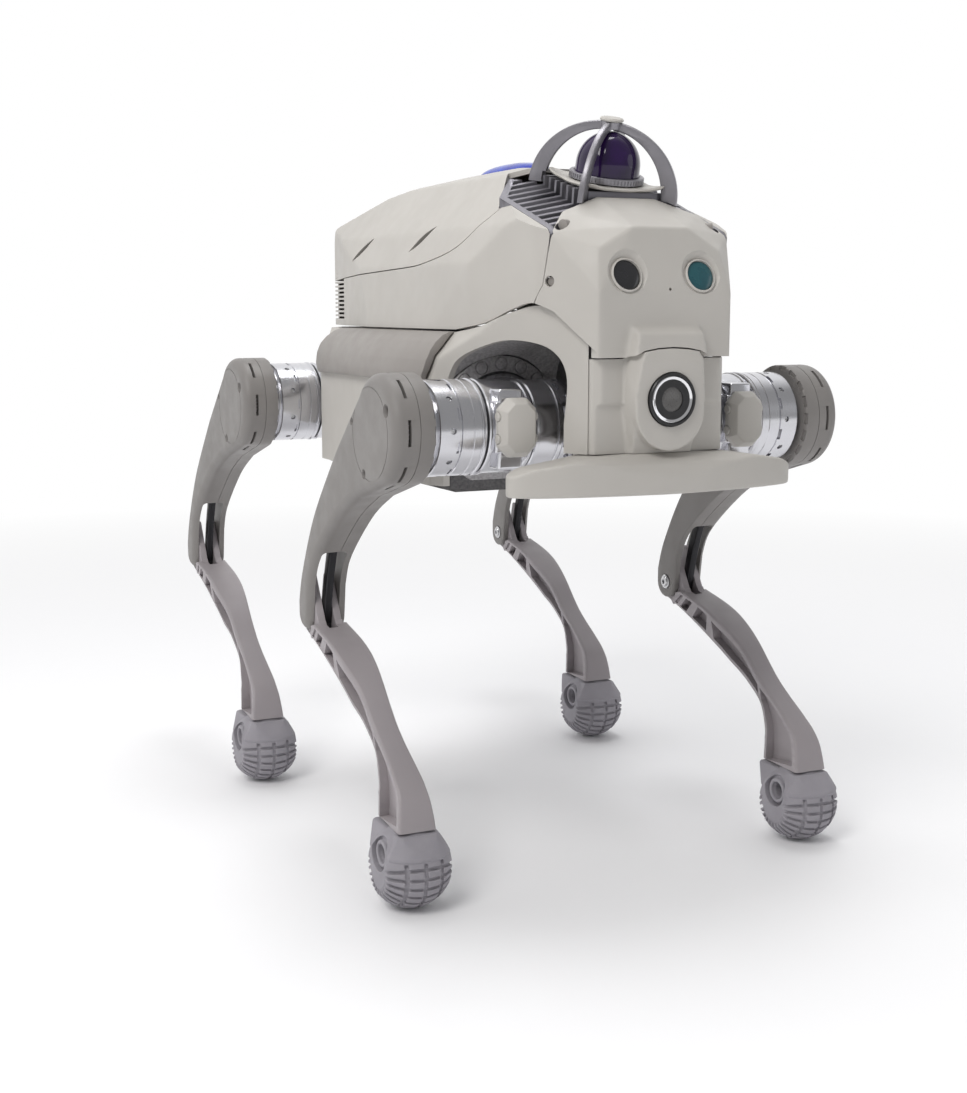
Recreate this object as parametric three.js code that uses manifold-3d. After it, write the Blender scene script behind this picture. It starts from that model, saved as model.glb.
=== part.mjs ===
// Quadruped robot dog: a hollow trunk with a dog-like head, a caged dome lidar and four
// three-joint legs. Millimetres, +Z up, the head faces -Y and the robot's left side is +X.
// The exported group stands on Z = 0 with the middle of its bounding box over the origin.
import * as THREE from "three";
import { ConvexGeometry } from "three/addons/geometries/ConvexGeometry.js";
import { mergeVertices } from "three/addons/utils/BufferGeometryUtils.js";
import Module from "manifold-3d";

const wasm = await Module();
wasm.setup();

// ---------------------------------------------------------------- driving dimensions
const GAP = 0.5; // between shells that butt against each other
const ROUND = 20; // segments of a full circle on large round pieces
const SMALL_ROUND = 8; // segments of a full circle on pins and bosses

const HIP = { y: 198, z: 396, abductionX: 80, legX: 198 }; // axes of one leg
const LINK = 183.5; // the knee lies this far behind and below the hip
const CRANK = 16; // throw of the parallel linkage that drives the knee
const BARREL = { radius: 40, inner: 46, split: 88, seam: 130.5, outer: 177.5 };
const LEG = { half: 18, wall: 6, head: 46, tip: 16, pin: 6 };
const FOOT = { radius: 36, y: -27, z: -360, flat: 29 };

const SKIN = 3.5; // wall of the moulded covers
const TRUNK = { half: 140, bottom: 341, arch: 138, wall: 150, rear: 238, tail: 42 };
const SHELL = { top: 619, rear: 232 };
const FACE = { y: -293.5, half: 61.8 };
const LIDAR = { y: -191, z: 590, tilt: THREE.MathUtils.degToRad(15) };
const STACK = { plate: 8.4, ring: 11.9, dome: 17.8 }; // undersides above the lidar's origin

// ---------------------------------------------------------------- solids
// A closed geometry as a manifold solid.
function solid(geometry) {
  const bare = geometry.clone();
  bare.deleteAttribute("normal");
  bare.deleteAttribute("uv");
  const merged = mergeVertices(bare, 1e-4);
  return new wasm.Manifold(
    new wasm.Mesh({
      numProp: 3,
      vertProperties: merged.attributes.position.array,
      triVerts: new Uint32Array(merged.index.array),
    }),
  );
}

// A manifold solid as a flat-shaded geometry.
function geometryOf(body) {
  const mesh = body.getMesh();
  const geometry = new THREE.BufferGeometry();
  geometry.setAttribute("position", new THREE.BufferAttribute(mesh.vertProperties, 3));
  geometry.setIndex(new THREE.BufferAttribute(mesh.triVerts, 1));
  const flat = geometry.toNonIndexed();
  flat.computeVertexNormals();
  return flat;
}

const AXES = {
  x: [new THREE.Vector3(0, 1, 0), new THREE.Vector3(0, 0, 1), new THREE.Vector3(1, 0, 0)],
  y: [new THREE.Vector3(0, 0, 1), new THREE.Vector3(1, 0, 0), new THREE.Vector3(0, 1, 0)],
  z: [new THREE.Vector3(1, 0, 0), new THREE.Vector3(0, 1, 0), new THREE.Vector3(0, 0, 1)],
};

// An outline pushed along an axis from one place to another. Outline points are (y, z)
// along x, (z, x) along y and (x, y) along z.
function prism(axis, outline, from, to) {
  const shape = new THREE.Shape(outline.map(([u, v]) => vec(u, v)));
  const geometry = new THREE.ExtrudeGeometry(shape, { depth: to - from, bevelEnabled: false });
  geometry.translate(0, 0, from);
  geometry.applyMatrix4(new THREE.Matrix4().makeBasis(...AXES[axis]));
  return solid(geometry);
}

// A round bar along an axis, centred on the two other coordinates in outline order.
function bar(axis, radius, from, to, centre = [0, 0], segments = ROUND) {
  return prism(axis, arc(centre, radius, 0, 360, segments).slice(1), from, to);
}

// A box between two corners.
function block(low, high) {
  const size = high.map((value, i) => value - low[i]);
  const geometry = new THREE.BoxGeometry(...size);
  geometry.translate(...low.map((value, i) => value + size[i] / 2));
  return solid(geometry);
}

function hull(points) {
  return solid(new ConvexGeometry(points.map((p) => new THREE.Vector3(...p))));
}

function vec(u, v) {
  return new THREE.Vector2(u, v);
}

// The same points on both sides of x = 0, for outlines and hulls that are symmetric.
function bothSides(points) {
  return points.flatMap(([x, ...rest]) => (x === 0 ? [[x, ...rest]] : [[x, ...rest], [-x, ...rest]]));
}

// A closed outline from one half: the half runs along +x and its mirror image runs back.
function mirrored(half, swap = false) {
  const back = half.filter(([x]) => x !== 0).map(([x, v]) => [-x, v]);
  const whole = [...half, ...back.reverse()];
  return swap ? whole.map(([x, v]) => [v, x]) : whole;
}

// Points along an arc, angles in degrees.
function arc([u, v], radius, from, to, steps) {
  return Array.from({ length: steps + 1 }, (_, i) => {
    const turn = THREE.MathUtils.degToRad(from + ((to - from) * i) / steps);
    return [u + radius * Math.cos(turn), v + radius * Math.sin(turn)];
  });
}

// Points along a smooth curve through a few given points.
function curve(points, steps) {
  const spline = new THREE.SplineCurve(points.map(([u, v]) => vec(u, v)));
  return spline.getPoints(steps).map(({ x, y }) => [x, y]);
}

// ---------------------------------------------------------------- materials and meshes
const PAINTS = {
  cream: { color: 0xd2cec5, roughness: 0.55, metalness: 0 },
  taupe: { color: 0x9b9692, roughness: 0.6, metalness: 0 },
  leg_grey: { color: 0x827f7c, roughness: 0.55, metalness: 0.1 },
  shank_grey: { color: 0x8d8688, roughness: 0.55, metalness: 0.1 },
  rubber: { color: 0x86828a, roughness: 0.8, metalness: 0 },
  silver: { color: 0xc6c6cc, roughness: 0.3, metalness: 1 },
  charcoal: { color: 0x3a393b, roughness: 0.7, metalness: 0.1 },
  sink_grey: { color: 0x77757c, roughness: 0.5, metalness: 0.6 },
  dome_purple: { color: 0x1c1230, roughness: 0.08, metalness: 0 },
  lens_black: { color: 0x151518, roughness: 0.15, metalness: 0 },
  lens_teal: { color: 0x16404c, roughness: 0.2, metalness: 0 },
  glow_blue: { color: 0x1c2f9e, roughness: 0.15, metalness: 0 },
};

function mesh(name, body, paint) {
  const made = new THREE.Mesh(geometryOf(body), new THREE.MeshStandardMaterial(PAINTS[paint]));
  made.name = name;
  return made;
}

// ---------------------------------------------------------------- leg
// A leg is drawn for the left side in its own frame: the origin is on the hip pitch axis
// in the leg's middle plane, x points outboard, y backwards and z up.
const OUT = (x) => x - HIP.legX; // robot distance from the middle plane to leg x
const KNEE = [LINK, -LINK];
const LEVER = [-CRANK * Math.SQRT1_2, -CRANK * Math.SQRT1_2];
const KNEE_LEVER = [KNEE[0] + LEVER[0], KNEE[1] + LEVER[1]];
const LINK_HALF = 3.5;
const PIN_PLAY = 0.5;

// The outline of the thigh in side view: round head, bowed back, round tip at the knee.
function thighOutline(inset = 0) {
  const head = LEG.head - inset;
  const tip = LEG.tip - inset;
  const [ky, kz] = KNEE;
  const back = [
    [94 - inset * 0.6, -22 - inset * 0.8],
    [153 - inset * 0.8, -84 - inset * 0.6],
    [188 - inset, -140],
    [ky + tip, kz + 12],
  ];
  const front = [
    [ky - tip - 4, kz + 28],
    [148 + inset, -128 + inset * 0.3],
    [92 + inset * 0.6, -84 + inset * 0.8],
    [44 + inset * 0.3, -60 + inset],
  ];
  return [
    ...arc([0, 0], head, -105, -322, 10),
    ...curve(back, 5),
    ...arc(KNEE, tip, 0, -180, 5),
    ...curve(front, 5),
  ];
}

// Hollow thigh: two side walls joined along the back and the front, open at the knee.
function thigh() {
  const { half, wall, pin } = LEG;
  const inside = half - wall;
  const shell = prism("x", thighOutline(), -half, half - 8);
  const crown = prism("x", thighOutline(2), half - 9, half - 4).add(
    prism("x", thighOutline(7), half - 5, half),
  );
  const hollow = prism("x", thighOutline(5), -inside, inside);
  const windows = block([-inside, 60, -230], [inside, 169, -112]).add(
    block([-inside, 150, -230], [inside, 230, -100]),
  );
  return shell
    .add(crown)
    .add(bar("x", LEG.tip - 3, inside, half, KNEE, SMALL_ROUND))
    .subtract(hollow)
    .subtract(windows)
    .subtract(bar("x", pin + PIN_PLAY, -half - 1, half + 1, KNEE, SMALL_ROUND))
    .subtract(bar("x", pin + PIN_PLAY, -half - 1, 1 - inside, [0, 0], SMALL_ROUND));
}

// Crank of the knee drive: a shaft through the thigh's inner wall, a disc and a pin.
function kneeCrank() {
  const disc = [wallInside(), -LINK_HALF - PIN_PLAY];
  return bar("x", LEG.pin, GAP - LEG.half, disc[0] + 1, [0, 0], SMALL_ROUND)
    .add(bar("x", CRANK + 6, ...disc))
    .add(bar("x", 3, disc[1] - 1, LINK_HALF, LEVER, SMALL_ROUND));
}

// Leg x just inside the thigh's inner wall.
function wallInside() {
  return LEG.wall - LEG.half + 1.5;
}

// Bowed link that carries the crank's turn down to the shank's lever.
function kneeLink() {
  const middle = new THREE.SplineCurve(
    [LEVER, [18, -34], [76, -52], [134, -96], [157, -138], KNEE_LEVER].map(([u, v]) => vec(u, v)),
  );
  const stations = Array.from({ length: 8 }, (_, i) => i / 7);
  const edge = (offset) =>
    stations.map((t) => {
      const at = middle.getPoint(t);
      const along = middle.getTangent(t);
      return [at.x - offset * along.y, at.y + offset * along.x];
    });
  const rod = prism("x", [...edge(5), ...edge(-5).reverse()], -LINK_HALF, LINK_HALF);
  return [LEVER, KNEE_LEVER].reduce(
    (body, centre) =>
      body
        .add(bar("x", 7, -LINK_HALF, LINK_HALF, centre, SMALL_ROUND))
        .subtract(bar("x", 3 + PIN_PLAY, -LEG.half, LEG.half, centre, SMALL_ROUND)),
    rod,
  );
}

// Curved shank: a deep upper part with side pockets, a slim middle and a flared ankle.
// A forked head between the thigh's walls holds the knee pin stubs and the lever pin.
function shank() {
  const { half, wall, tip, pin } = LEG;
  const front = [
    [158, -190],
    [116, -199],
    [86, -210],
    [55, -227],
    [22, -255],
    [-18, -282],
    [-38, -300],
    [-45, -326],
  ];
  const rear = [
    [14, -328],
    [14, -302],
    [30, -273],
    [78, -244],
    [145, -216],
    [193, -200],
  ];
  const upperPocket = [
    [136, -204],
    [100, -215],
    [70, -231],
    [52, -245],
    [78, -237],
    [118, -219],
    [160, -205],
  ];
  const anklePocket = [
    [20, -268],
    [-2, -283],
    [-9, -302],
    [-10, -322],
    [4, -322],
    [6, -300],
  ];
  const bladeHalf = half - 1.5;
  const cheek = half - wall - GAP;
  const pockets = [upperPocket, anklePocket].map((outline) =>
    prism("x", outline, -half, 4 - bladeHalf).add(prism("x", outline, bladeHalf - 4, half)),
  );
  const tongue = hull([...around(KNEE, 13, cheek), ...around(KNEE_LEVER, 7.5, cheek)]);
  const root = [
    [150, -197],
    [158, -187],
    [176, -188],
    [190, -196],
    [178, -207],
  ];
  const width = mirrored(
    [
      [bladeHalf, -180],
      [bladeHalf, -222],
      [12, -270],
      [12, -298],
      [bladeHalf, -328],
    ],
    true,
  );
  return prism("x", [...curve(front, 10), ...curve(rear, 8)], -bladeHalf, bladeHalf)
    .intersect(prism("y", width, -100, 250))
    .subtract(bar("x", tip + 2, -half - 1, half + 1, KNEE))
    .subtract(pockets[0])
    .subtract(pockets[1])
    .add(bar("x", pin, GAP - half, half - GAP, KNEE, SMALL_ROUND))
    .add(tongue)
    .add(prism("x", root, -cheek, cheek))
    .subtract(linkSlot())
    .add(bar("x", 3, -cheek, cheek, KNEE_LEVER, SMALL_ROUND));
}

// Room between the shank's cheeks for the link as it swings around the lever pin.
function linkSlot() {
  const swing = [
    [167.9, -203],
    [180, -200],
    [212, -147],
    [116, -130],
    [114, -173],
  ];
  const halfSlot = LINK_HALF + 1;
  return prism("x", swing, -halfSlot, halfSlot).add(
    bar("x", 9, -halfSlot, halfSlot, KNEE_LEVER, SMALL_ROUND),
  );
}

// Points of a disc with a thickness, around a place in the leg's side view.
function around([y, z], radius, halfWidth, count = SMALL_ROUND) {
  return Array.from({ length: count }, (_, i) => {
    const turn = (2 * Math.PI * i) / count;
    return [
      [-halfWidth, y + radius * Math.cos(turn), z + radius * Math.sin(turn)],
      [halfWidth, y + radius * Math.cos(turn), z + radius * Math.sin(turn)],
    ];
  }).flat();
}

// Rubber ball foot with flat sides, a hub bore and a collar around the ankle.
function foot() {
  const ball = new THREE.SphereGeometry(FOOT.radius, 16, 10);
  ball.rotateX(Math.PI / 2);
  ball.translate(0, FOOT.y, FOOT.z);
  const collar = hull([
    ...corners(LEG.half - 0.5, [-47, 12], -331),
    ...corners(26, [-56, 6], -352),
  ]);
  const flats = block([-FOOT.flat, -80, -400], [FOOT.flat, 60, -331 - GAP]);
  const bore = bar("x", 9, -40, 40, [FOOT.y - 2, FOOT.z + 13], SMALL_ROUND);
  return solid(ball).intersect(flats).add(collar.intersect(flats)).subtract(bore);
}

// Four corners of a flat rectangle, symmetric in x.
function corners(halfWidth, [y0, y1], z) {
  return bothSides([
    [halfWidth, y0, z],
    [halfWidth, y1, z],
  ]);
}

// Hip pitch motor: a ribbed barrel with an output flange against the thigh.
function hipMotor() {
  const { radius, seam, outer } = BARREL;
  return bar("x", radius, OUT(seam + 6), OUT(outer - 3))
    .add(bar("x", radius - 2.5, OUT(seam + GAP), OUT(seam + 7)))
    .add(bar("x", radius - 6, OUT(outer - 4), -LEG.half - GAP))
    .subtract(groove(OUT(155), radius));
}

function kneeMotor() {
  const { radius, inner, split } = BARREL;
  return bar("x", radius - 2, OUT(inner), OUT(split - GAP)).subtract(groove(OUT(64), radius - 2));
}

function groove(x, radius) {
  return bar("x", radius + 2, x - 0.8, x + 0.8).subtract(bar("x", radius - 1.2, x - 2, x + 2));
}

// Hip housing: holds both motors end to end and turns on the abduction motor's disc.
function hipHousing() {
  const { radius, split, seam } = BARREL;
  const disc = [radius - 0.8, radius + 4];
  return bar("x", radius - 1, OUT(split), OUT(seam))
    .add(bar("y", radius + 2, ...disc, [0, OUT(HIP.abductionX)]))
    .add(block([OUT(split), 20, -24], [OUT(114), disc[1], 24]))
    .add(block([OUT(100), -44, -20], [OUT(121), -20, 22]));
}

// Cream guard on the hip housing, an octagonal cap with chamfered ends.
function hipCover() {
  const middle = OUT(110.5);
  const [low, high] = [-22, 26];
  const face = (half, cut, y) =>
    [
      [half, low + cut],
      [half, high - cut],
      [half - cut, high],
      [cut - half, high],
      [-half, high - cut],
      [-half, low + cut],
      [cut - half, low],
      [half - cut, low],
    ].map(([x, z]) => [middle + x, y, z]);
  return hull([...face(17, 9, -44 - GAP), ...face(17, 9, -52), ...face(13, 6, -58)]);
}

// Abduction motor: a drum inside the trunk with a bolted flange in the leg arch.
function abductionMotor() {
  const centre = [0, OUT(HIP.abductionX)];
  const front = BARREL.radius + 4 + GAP;
  const bolts = arc(centre, 46.5, -60, 60, 3).map((place) => bar("y", 3, front - 2, front + 1, place, 6));
  return bolts.reduce(
    (body, bolt) => body.add(bolt),
    bar("y", 50, front, front + 3, centre).add(bar("y", 44, front + 2, front + 38, centre)),
  );
}

function leg(prefix, side, end) {
  const place = new THREE.Group();
  place.position.set(side * HIP.legX, end * HIP.y, HIP.z);
  place.scale.x = side;
  const hip = new THREE.Group();
  hip.scale.y = -end;
  hip.add(
    mesh(`${prefix}_abduction_motor`, abductionMotor(), "charcoal"),
    mesh(`${prefix}_hip_housing`, hipHousing(), "silver"),
    mesh(`${prefix}_hip_cover`, hipCover(), "cream"),
    mesh(`${prefix}_hip_motor`, hipMotor(), "silver"),
    mesh(`${prefix}_knee_motor`, kneeMotor(), "silver"),
  );
  place.add(
    hip,
    mesh(`${prefix}_thigh`, thigh(), "leg_grey"),
    mesh(`${prefix}_knee_crank`, kneeCrank(), "silver"),
    mesh(`${prefix}_knee_link`, kneeLink(), "charcoal"),
    mesh(`${prefix}_shank`, shank(), "shank_grey"),
    mesh(`${prefix}_foot`, foot(), "rubber"),
  );
  return place;
}

// ---------------------------------------------------------------- trunk
// Edge of the upper shell over the lower one, in side view from back to front.
const BELT = [
  [260, 474],
  [-137, 474],
  [-180, 480],
  [-212, 491],
  [-236, 496.5],
  [-256, 490],
  [-300, 450],
];
// Seam between the rear cover and the side shells, in side view from back to front.
const SEAM = [
  [260, 520],
  [-60, 531],
  [-120, 543],
  [-160, 566],
  [-190, 590],
  [-230, 640],
];
// Seam between the head and everything behind it, in side view from top to bottom.
const HEAD_SEAM = [
  [-226, 700],
  [-226, 585],
  [-236, 571],
  [-253, 552.5],
  [-247, 512],
  [-238, 496],
  [-238, 400],
];
// Opening for the heat sink in the top of the neck, the right half in plan.
const NECK = [
  [0, -150],
  [42, -150],
  [60, -130],
  [88, -168],
  [84, -254],
  [0, -254],
];

// Everything below (or above) a side-view line.
function below(line, lift = 0) {
  const [first, last] = [line[0], line.at(-1)];
  const edge = line.map(([y, z]) => [y, z + lift]);
  return prism("x", [...edge, [last[0], 0], [first[0], 0]], -300, 300);
}

function above(line, lift = 0) {
  const [first, last] = [line[0], line.at(-1)];
  const edge = line.map(([y, z]) => [y, z + lift]);
  return prism("x", [...edge, [last[0], 900], [first[0], 900]], -300, 300);
}

// Everything behind the head seam, moved back by a gap.
function behindHead(gap = 0) {
  const edge = HEAD_SEAM.map(([y, z]) => [y + gap, z]);
  return prism("x", [...edge, [300, 400], [300, 700]], -300, 300);
}

// Solid form of the lower shell: plan outline by cross-section.
function lowerForm(inset = 0) {
  const { half, bottom, arch, rear } = TRUNK;
  const plan = mirrored([
    [76 - inset, rear - inset],
    [130 - inset, 150 - inset],
    [half - inset, arch - inset],
    [half - inset, -arch + inset],
    [130 - inset, -152 + inset],
    [62.5 - inset, -281 + inset],
  ]);
  const section = mirrored(
    [
      [half - inset, bottom - 20],
      [half - inset, 430],
      [134 - inset, 452],
      [112 - inset, 476 - inset],
      [90 - inset, 510 - inset],
    ],
    true,
  );
  return prism("z", plan, bottom - 10, 520).intersect(prism("y", section, -300, 260));
}

// Opening in the lower shell around a hip barrel, in side view of the front leg.
function archOpening() {
  const top = [
    [-149, 420],
    [-160, 448],
    [-186, 462],
    [-214, 467.5],
    [-246, 461],
    [-261, 440],
    [-259, 400],
  ];
  return prism("x", [...curve(top, 10), [-259, 300], [-149, 300]], -200, 200);
}

function lowerShell() {
  // The shell's end wall stays between the rear arches, behind the tail beam.
  const tail = block([-TRUNK.tail, 200, 300], [TRUNK.tail, 300, 600]);
  const rearArch = archOpening().mirror([0, 1, 0]).subtract(tail);
  return lowerForm()
    .intersect(below(BELT, -GAP))
    .intersect(block([-300, -300, TRUNK.bottom], [300, 300, 600]))
    .subtract(lowerForm(SKIN).add(block([-60, -300, 300], [60, 0, 600])))
    .subtract(archOpening())
    .subtract(rearArch)
    .subtract(block([-63.5, -300, 300], [63.5, -255, 600]))
    .subtract(block([-300, -300, 300], [300, -246, 376.5]));
}

// Charcoal chassis: an open box between the hips with a dished belly, and a keel that
// runs to the head and the tail. The abduction motors pass through its end walls.
function trunkFrame() {
  const half = 130;
  const wall = 5;
  const end = TRUNK.wall - 1.5;
  const [floor, top] = [TRUNK.bottom + 6, 462];
  const walls = block([-half, -end, TRUNK.bottom - 3], [half, end, top])
    .add(block([-24, -245, 352], [24, 228, top]))
    .intersect(lowerForm(SKIN + 1));
  const rooms = block([wall - half, wall - end, floor], [half - wall, end - wall, top + 1]).add(
    block([-18, -239, 358], [18, 222, top + 1]),
  );
  const bores = [-1, 1].flatMap((side) =>
    [-1, 1].map((rear) => {
      const [y0, y1] = rear > 0 ? [end - 8, end + 3] : [-end - 3, 8 - end];
      return bar("y", 44.6, y0, y1, [HIP.z, side * HIP.abductionX]);
    }),
  );
  const pan = prism("y", mirrored([[112, 333], [138, TRUNK.bottom]], true), -130, 130).intersect(
    block([-300, -200, 300], [300, 200, TRUNK.bottom - GAP]),
  );
  return bores.reduce((body, bore) => body.subtract(bore), walls.add(pan).subtract(rooms));
}


function batteryPack() {
  return block([-60, -96, 352], [60, 96, 440]);
}

// Curved saddle flap over the side of the lower shell.
function sideFlap(side) {
  const section = [
    [116, 474.3],
    [126, 470.5],
    [139, 458],
    [146, 438],
    [146, 429],
    [140.8, 429],
    [140.8, 437],
    [135, 453.5],
    [119, 470.5],
    [115.5, 474],
  ];
  const slant = [
    [-136, 480],
    [-139, 455],
    [-130, 428],
    [130, 428],
    [139, 455],
    [128, 480],
  ];
  return prism("y", section.map(([x, z]) => [z, side * x]), -140, 140)
    .intersect(prism("x", slant, -200, 200))
    .intersect(below(BELT, -GAP));
}

// Solid form of the upper shell: plan, side and end outlines meet in one faceted body.
function upperForm(inset = 0) {
  const plan = mirrored([
    [56 - inset, -300 + inset],
    [62 - inset, -293.5 + inset],
    [91.5 - inset, -240],
    [113 - inset, -160],
    [118 - inset, -100],
    [118 - inset, 60],
    [103 - inset, 165 - inset],
    [89 - inset, SHELL.rear - inset],
  ]);
  const side = [
    [SHELL.rear - inset, 440],
    [SHELL.rear - inset, 562 - inset],
    [SHELL.rear - 8 - inset, 578 - inset],
    [130, 603 - inset],
    [10, 616 - inset],
    [-80, SHELL.top - inset],
    [-150, 613 - inset],
    [-226, 586 - inset],
    [-300, 540 - inset],
    [-300, 440],
  ];
  const section = mirrored(
    [
      [119 - inset, 440],
      [118 - inset, 480],
      [113 - inset, 531],
      [100 - inset, 562 - inset],
      [64 - inset, 608 - inset],
      [30 - inset, 618 - inset],
      [0, SHELL.top + 1 - inset],
    ],
    true,
  );
  return prism("z", plan, 440, 640)
    .intersect(prism("x", side, -200, 200))
    .intersect(prism("y", section, -310, 260));
}


function neckOpening(grow = 0) {
  const half = NECK.map(([x, y]) => [x > 80 ? x + grow : x, y > -200 ? y + grow : y]);
  return prism("z", mirrored(half), 480, 700);
}

// Solid under the sloping top of the heat sink, lowered by some depth.
function neckForm(depth = 0) {
  const place = (x, y) => [x, y, 605 + 0.365 * (y + 130) - 0.2 * (x - 60) - depth];
  const [half, rear, front] = [130, -100, -270];
  return hull(
    bothSides([
      place(0, rear),
      place(half, rear),
      place(0, front),
      place(half, front),
      [half, rear, 400],
      [half, front, 400],
    ]),
  );
}

function sideShell() {
  const space = neckForm(SKIN).add(block([-300, SKIN - 168, 400], [300, 300, 700]));
  return upperForm()
    .intersect(above(BELT, GAP))
    .intersect(below(SEAM, -GAP))
    .intersect(behindHead(GAP))
    .intersect(neckForm().add(block([-300, -168, 400], [300, 300, 700])))
    .subtract(upperForm(SKIN).intersect(space))
    .subtract(neckOpening(GAP));
}

function rearCover() {
  return upperForm()
    .intersect(above(SEAM, GAP))
    .intersect(behindHead(GAP))
    .subtract(upperForm(SKIN))
    .subtract(neckOpening(GAP))
    .subtract(block([-200, -300, 400], [200, -170, 700]));
}

// Finned aluminium heat sink across the neck, with a raised middle that carries the lidar.
function heatSink() {
  const fins = Array.from({ length: 9 }, (_, i) =>
    block([-200, -237 + 11 * i, 500], [200, -233.5 + 11 * i, 700]),
  );
  const banks = fins.reduce((all, fin) => all.add(fin));
  return neckForm(0)
    .intersect(banks)
    .add(neckForm(8))
    .subtract(neckForm(14))
    .add(pedestal())
    .intersect(neckOpening())
    .intersect(behindHead(GAP))
    .intersect(underLidar(STACK.plate - 0.8))
    .subtract(neckForm(30));
}

// Raised block in the middle of the heat sink.
function pedestal(grow = 0) {
  return hull([
    ...corners(42 + grow, [-224 - grow, -152 + grow], 560),
    ...bothSides([
      [40 + grow, -224 - grow, 592],
      [40 + grow, -152 + grow, 611],
    ]),
  ]).intersect(underLidar(STACK.plate - 0.8 + grow));
}

// Everything below a height along the lidar's leaning axis.
function underLidar(height) {
  return block([-300, -300, -300], [300, 300, height])
    .rotate([THREE.MathUtils.radToDeg(LIDAR.tilt), 0, 0])
    .translate([0, LIDAR.y, LIDAR.z]);
}

function rearLight() {
  const outline = mirrored([[6, -84], [15, -70], [17, -20], [14, 30], [5, 44]]);
  return prism("z", outline, SHELL.top - 6, SHELL.top + 8)
    .intersect(upperForm(-5))
    .subtract(upperForm(-0.6));
}

// ---------------------------------------------------------------- head
function headForm(inset = 0) {
  const s = (x) => x - inset;
  return hull(
    bothSides([
      [s(FACE.half), FACE.y + inset, 440],
      [s(FACE.half), FACE.y + inset, 506],
      [s(56.5), -282.4 + inset, 540.2 - inset],
      [s(25), -282.7 + inset, 558 - inset],
      [s(27), -226, 585 - inset],
      [s(65), -236, 571 - inset],
      [s(84.5), -250, 553 - inset],
      [s(91), -242, 505],
      [s(91), -240, 440],
      [s(84), -220, 553 - inset],
      [s(91), -220, 440],
    ]),
  );
}

function muzzle(inset = 0) {
  return hull(
    bothSides([
      [35.5 - inset, -291, 441],
      [31 - inset, -291, 481],
      [36 - inset, -306.5 + inset, 441],
      [30.5 - inset, -303.6 + inset, 473],
    ]),
  );
}

// Lower edge of the face: a shallow arch over the muzzle between two flat ends.
function lipLine(lift = 0) {
  const half = [
    [26, 460.5],
    [36, 455],
    [37, 454],
    [140, 454],
  ].map(([x, z]) => [z + lift, x]);
  const other = half.map(([z, x]) => [z, -x]).reverse();
  return [...half, [300, 140], [300, -140], ...other];
}

const EYES = { x: 34.6, y: -289, z: 519.6, radius: 13, lean: 18 };

function headShell() {
  const front = block([-61, -320, 440], [61, -262, 600]);
  return headForm()
    .add(muzzle())
    .subtract(prism("y", lipLine(), -320, -255))
    .intersect(above(BELT, GAP).add(front))
    .subtract(headForm(SKIN))
    .subtract(behindHead(-GAP))
    .add(eyeCups())
    .subtract(eyeSockets());
}


// A bar across the face at each eye, square to the leaning brow.
function eyeBar(side, radius, from, to) {
  return bar("y", radius, from, to, [0, 0], 16)
    .rotate([-EYES.lean, 0, 0])
    .translate([side * EYES.x, EYES.y, EYES.z]);
}

function eyeCups() {
  const cups = eyeBar(-1, EYES.radius + 2.5, -2, 9).add(eyeBar(1, EYES.radius + 2.5, -2, 9));
  return cups.intersect(headForm(1));
}

function eyeSockets() {
  return eyeBar(-1, EYES.radius + 0.4, -20, 6.5).add(eyeBar(1, EYES.radius + 0.4, -20, 6.5));
}

function eye(side) {
  return eyeBar(side, EYES.radius, -1.5, 6);
}

const NOSE = { z: 421, radius: 21.7 };

function jawShell() {
  const plan = mirrored([[62.7, -262], [62.7, -279], [57, -288.4]].reverse());
  const form = prism("z", plan, 378, 480);
  const snout = hull(
    bothSides([
      [30, -286, 382],
      [31, -302, 400],
      [32.5, -304, 421],
      [30, -306, 452],
      [36, -286, 452],
      [34, -286, 400],
      [22, -304, 462],
      [22, -286, 462],
    ]),
  );
  return form
    .add(snout)
    .intersect(prism("y", lipLine(-1.2), -320, -250))
    .subtract(block([-58, -283.5, 370], [58, -240, 500]))
    .subtract(bar("y", NOSE.radius + 0.4, -330, -297, [NOSE.z, 0]))
    .subtract(bar("y", 12, -330, -270, [NOSE.z, 0], SMALL_ROUND));
}

function noseCamera() {
  const tube = bar("y", NOSE.radius, -307, -297.5, [NOSE.z, 0]);
  const well = bar("y", NOSE.radius - 8, -310, -304.5, [NOSE.z, 0]);
  return tube.subtract(well).add(bar("y", 11, -298, -276, [NOSE.z, 0], SMALL_ROUND));
}

// Bowed shelf under the jaw.
function bumper() {
  const bow = [
    [133, -262],
    [133, -279],
    [118, -291],
    [70, -305],
    [0, -313],
    [-70, -305],
    [-118, -291],
    [-133, -279],
    [-133, -262],
  ];
  const neck = [
    [-60, -262],
    [-60, -247],
    [60, -247],
    [60, -262],
  ];
  const section = mirrored(
    [
      [134, 345],
      [134, 362],
      [118, 367],
      [60, 374],
      [0, 376],
    ],
    true,
  );
  return prism("z", [...curve(bow, 24), ...neck], 345, 380)
    .intersect(prism("y", section, -320, -240))
    .subtract(block([-116, -279, 340], [116, -240, 366]));
}

// ---------------------------------------------------------------- lidar
// Pieces around the lidar axis are drawn upright and then leaned forward together.
function lidarPlate() {
  const spans = [45, 135].map((degrees) => {
    const arm = block([-42, -6.5, 0], [42, 6.5, 3]);
    return arm.rotate([0, 0, degrees]);
  });
  return bar("z", 32, 0, 3).add(spans[0]).add(spans[1]).translate([0, 0, STACK.plate]);
}

function lidarBase() {
  return bar("z", 32, STACK.ring, STACK.dome - 0.4, [0, 0], 32);
}

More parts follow.
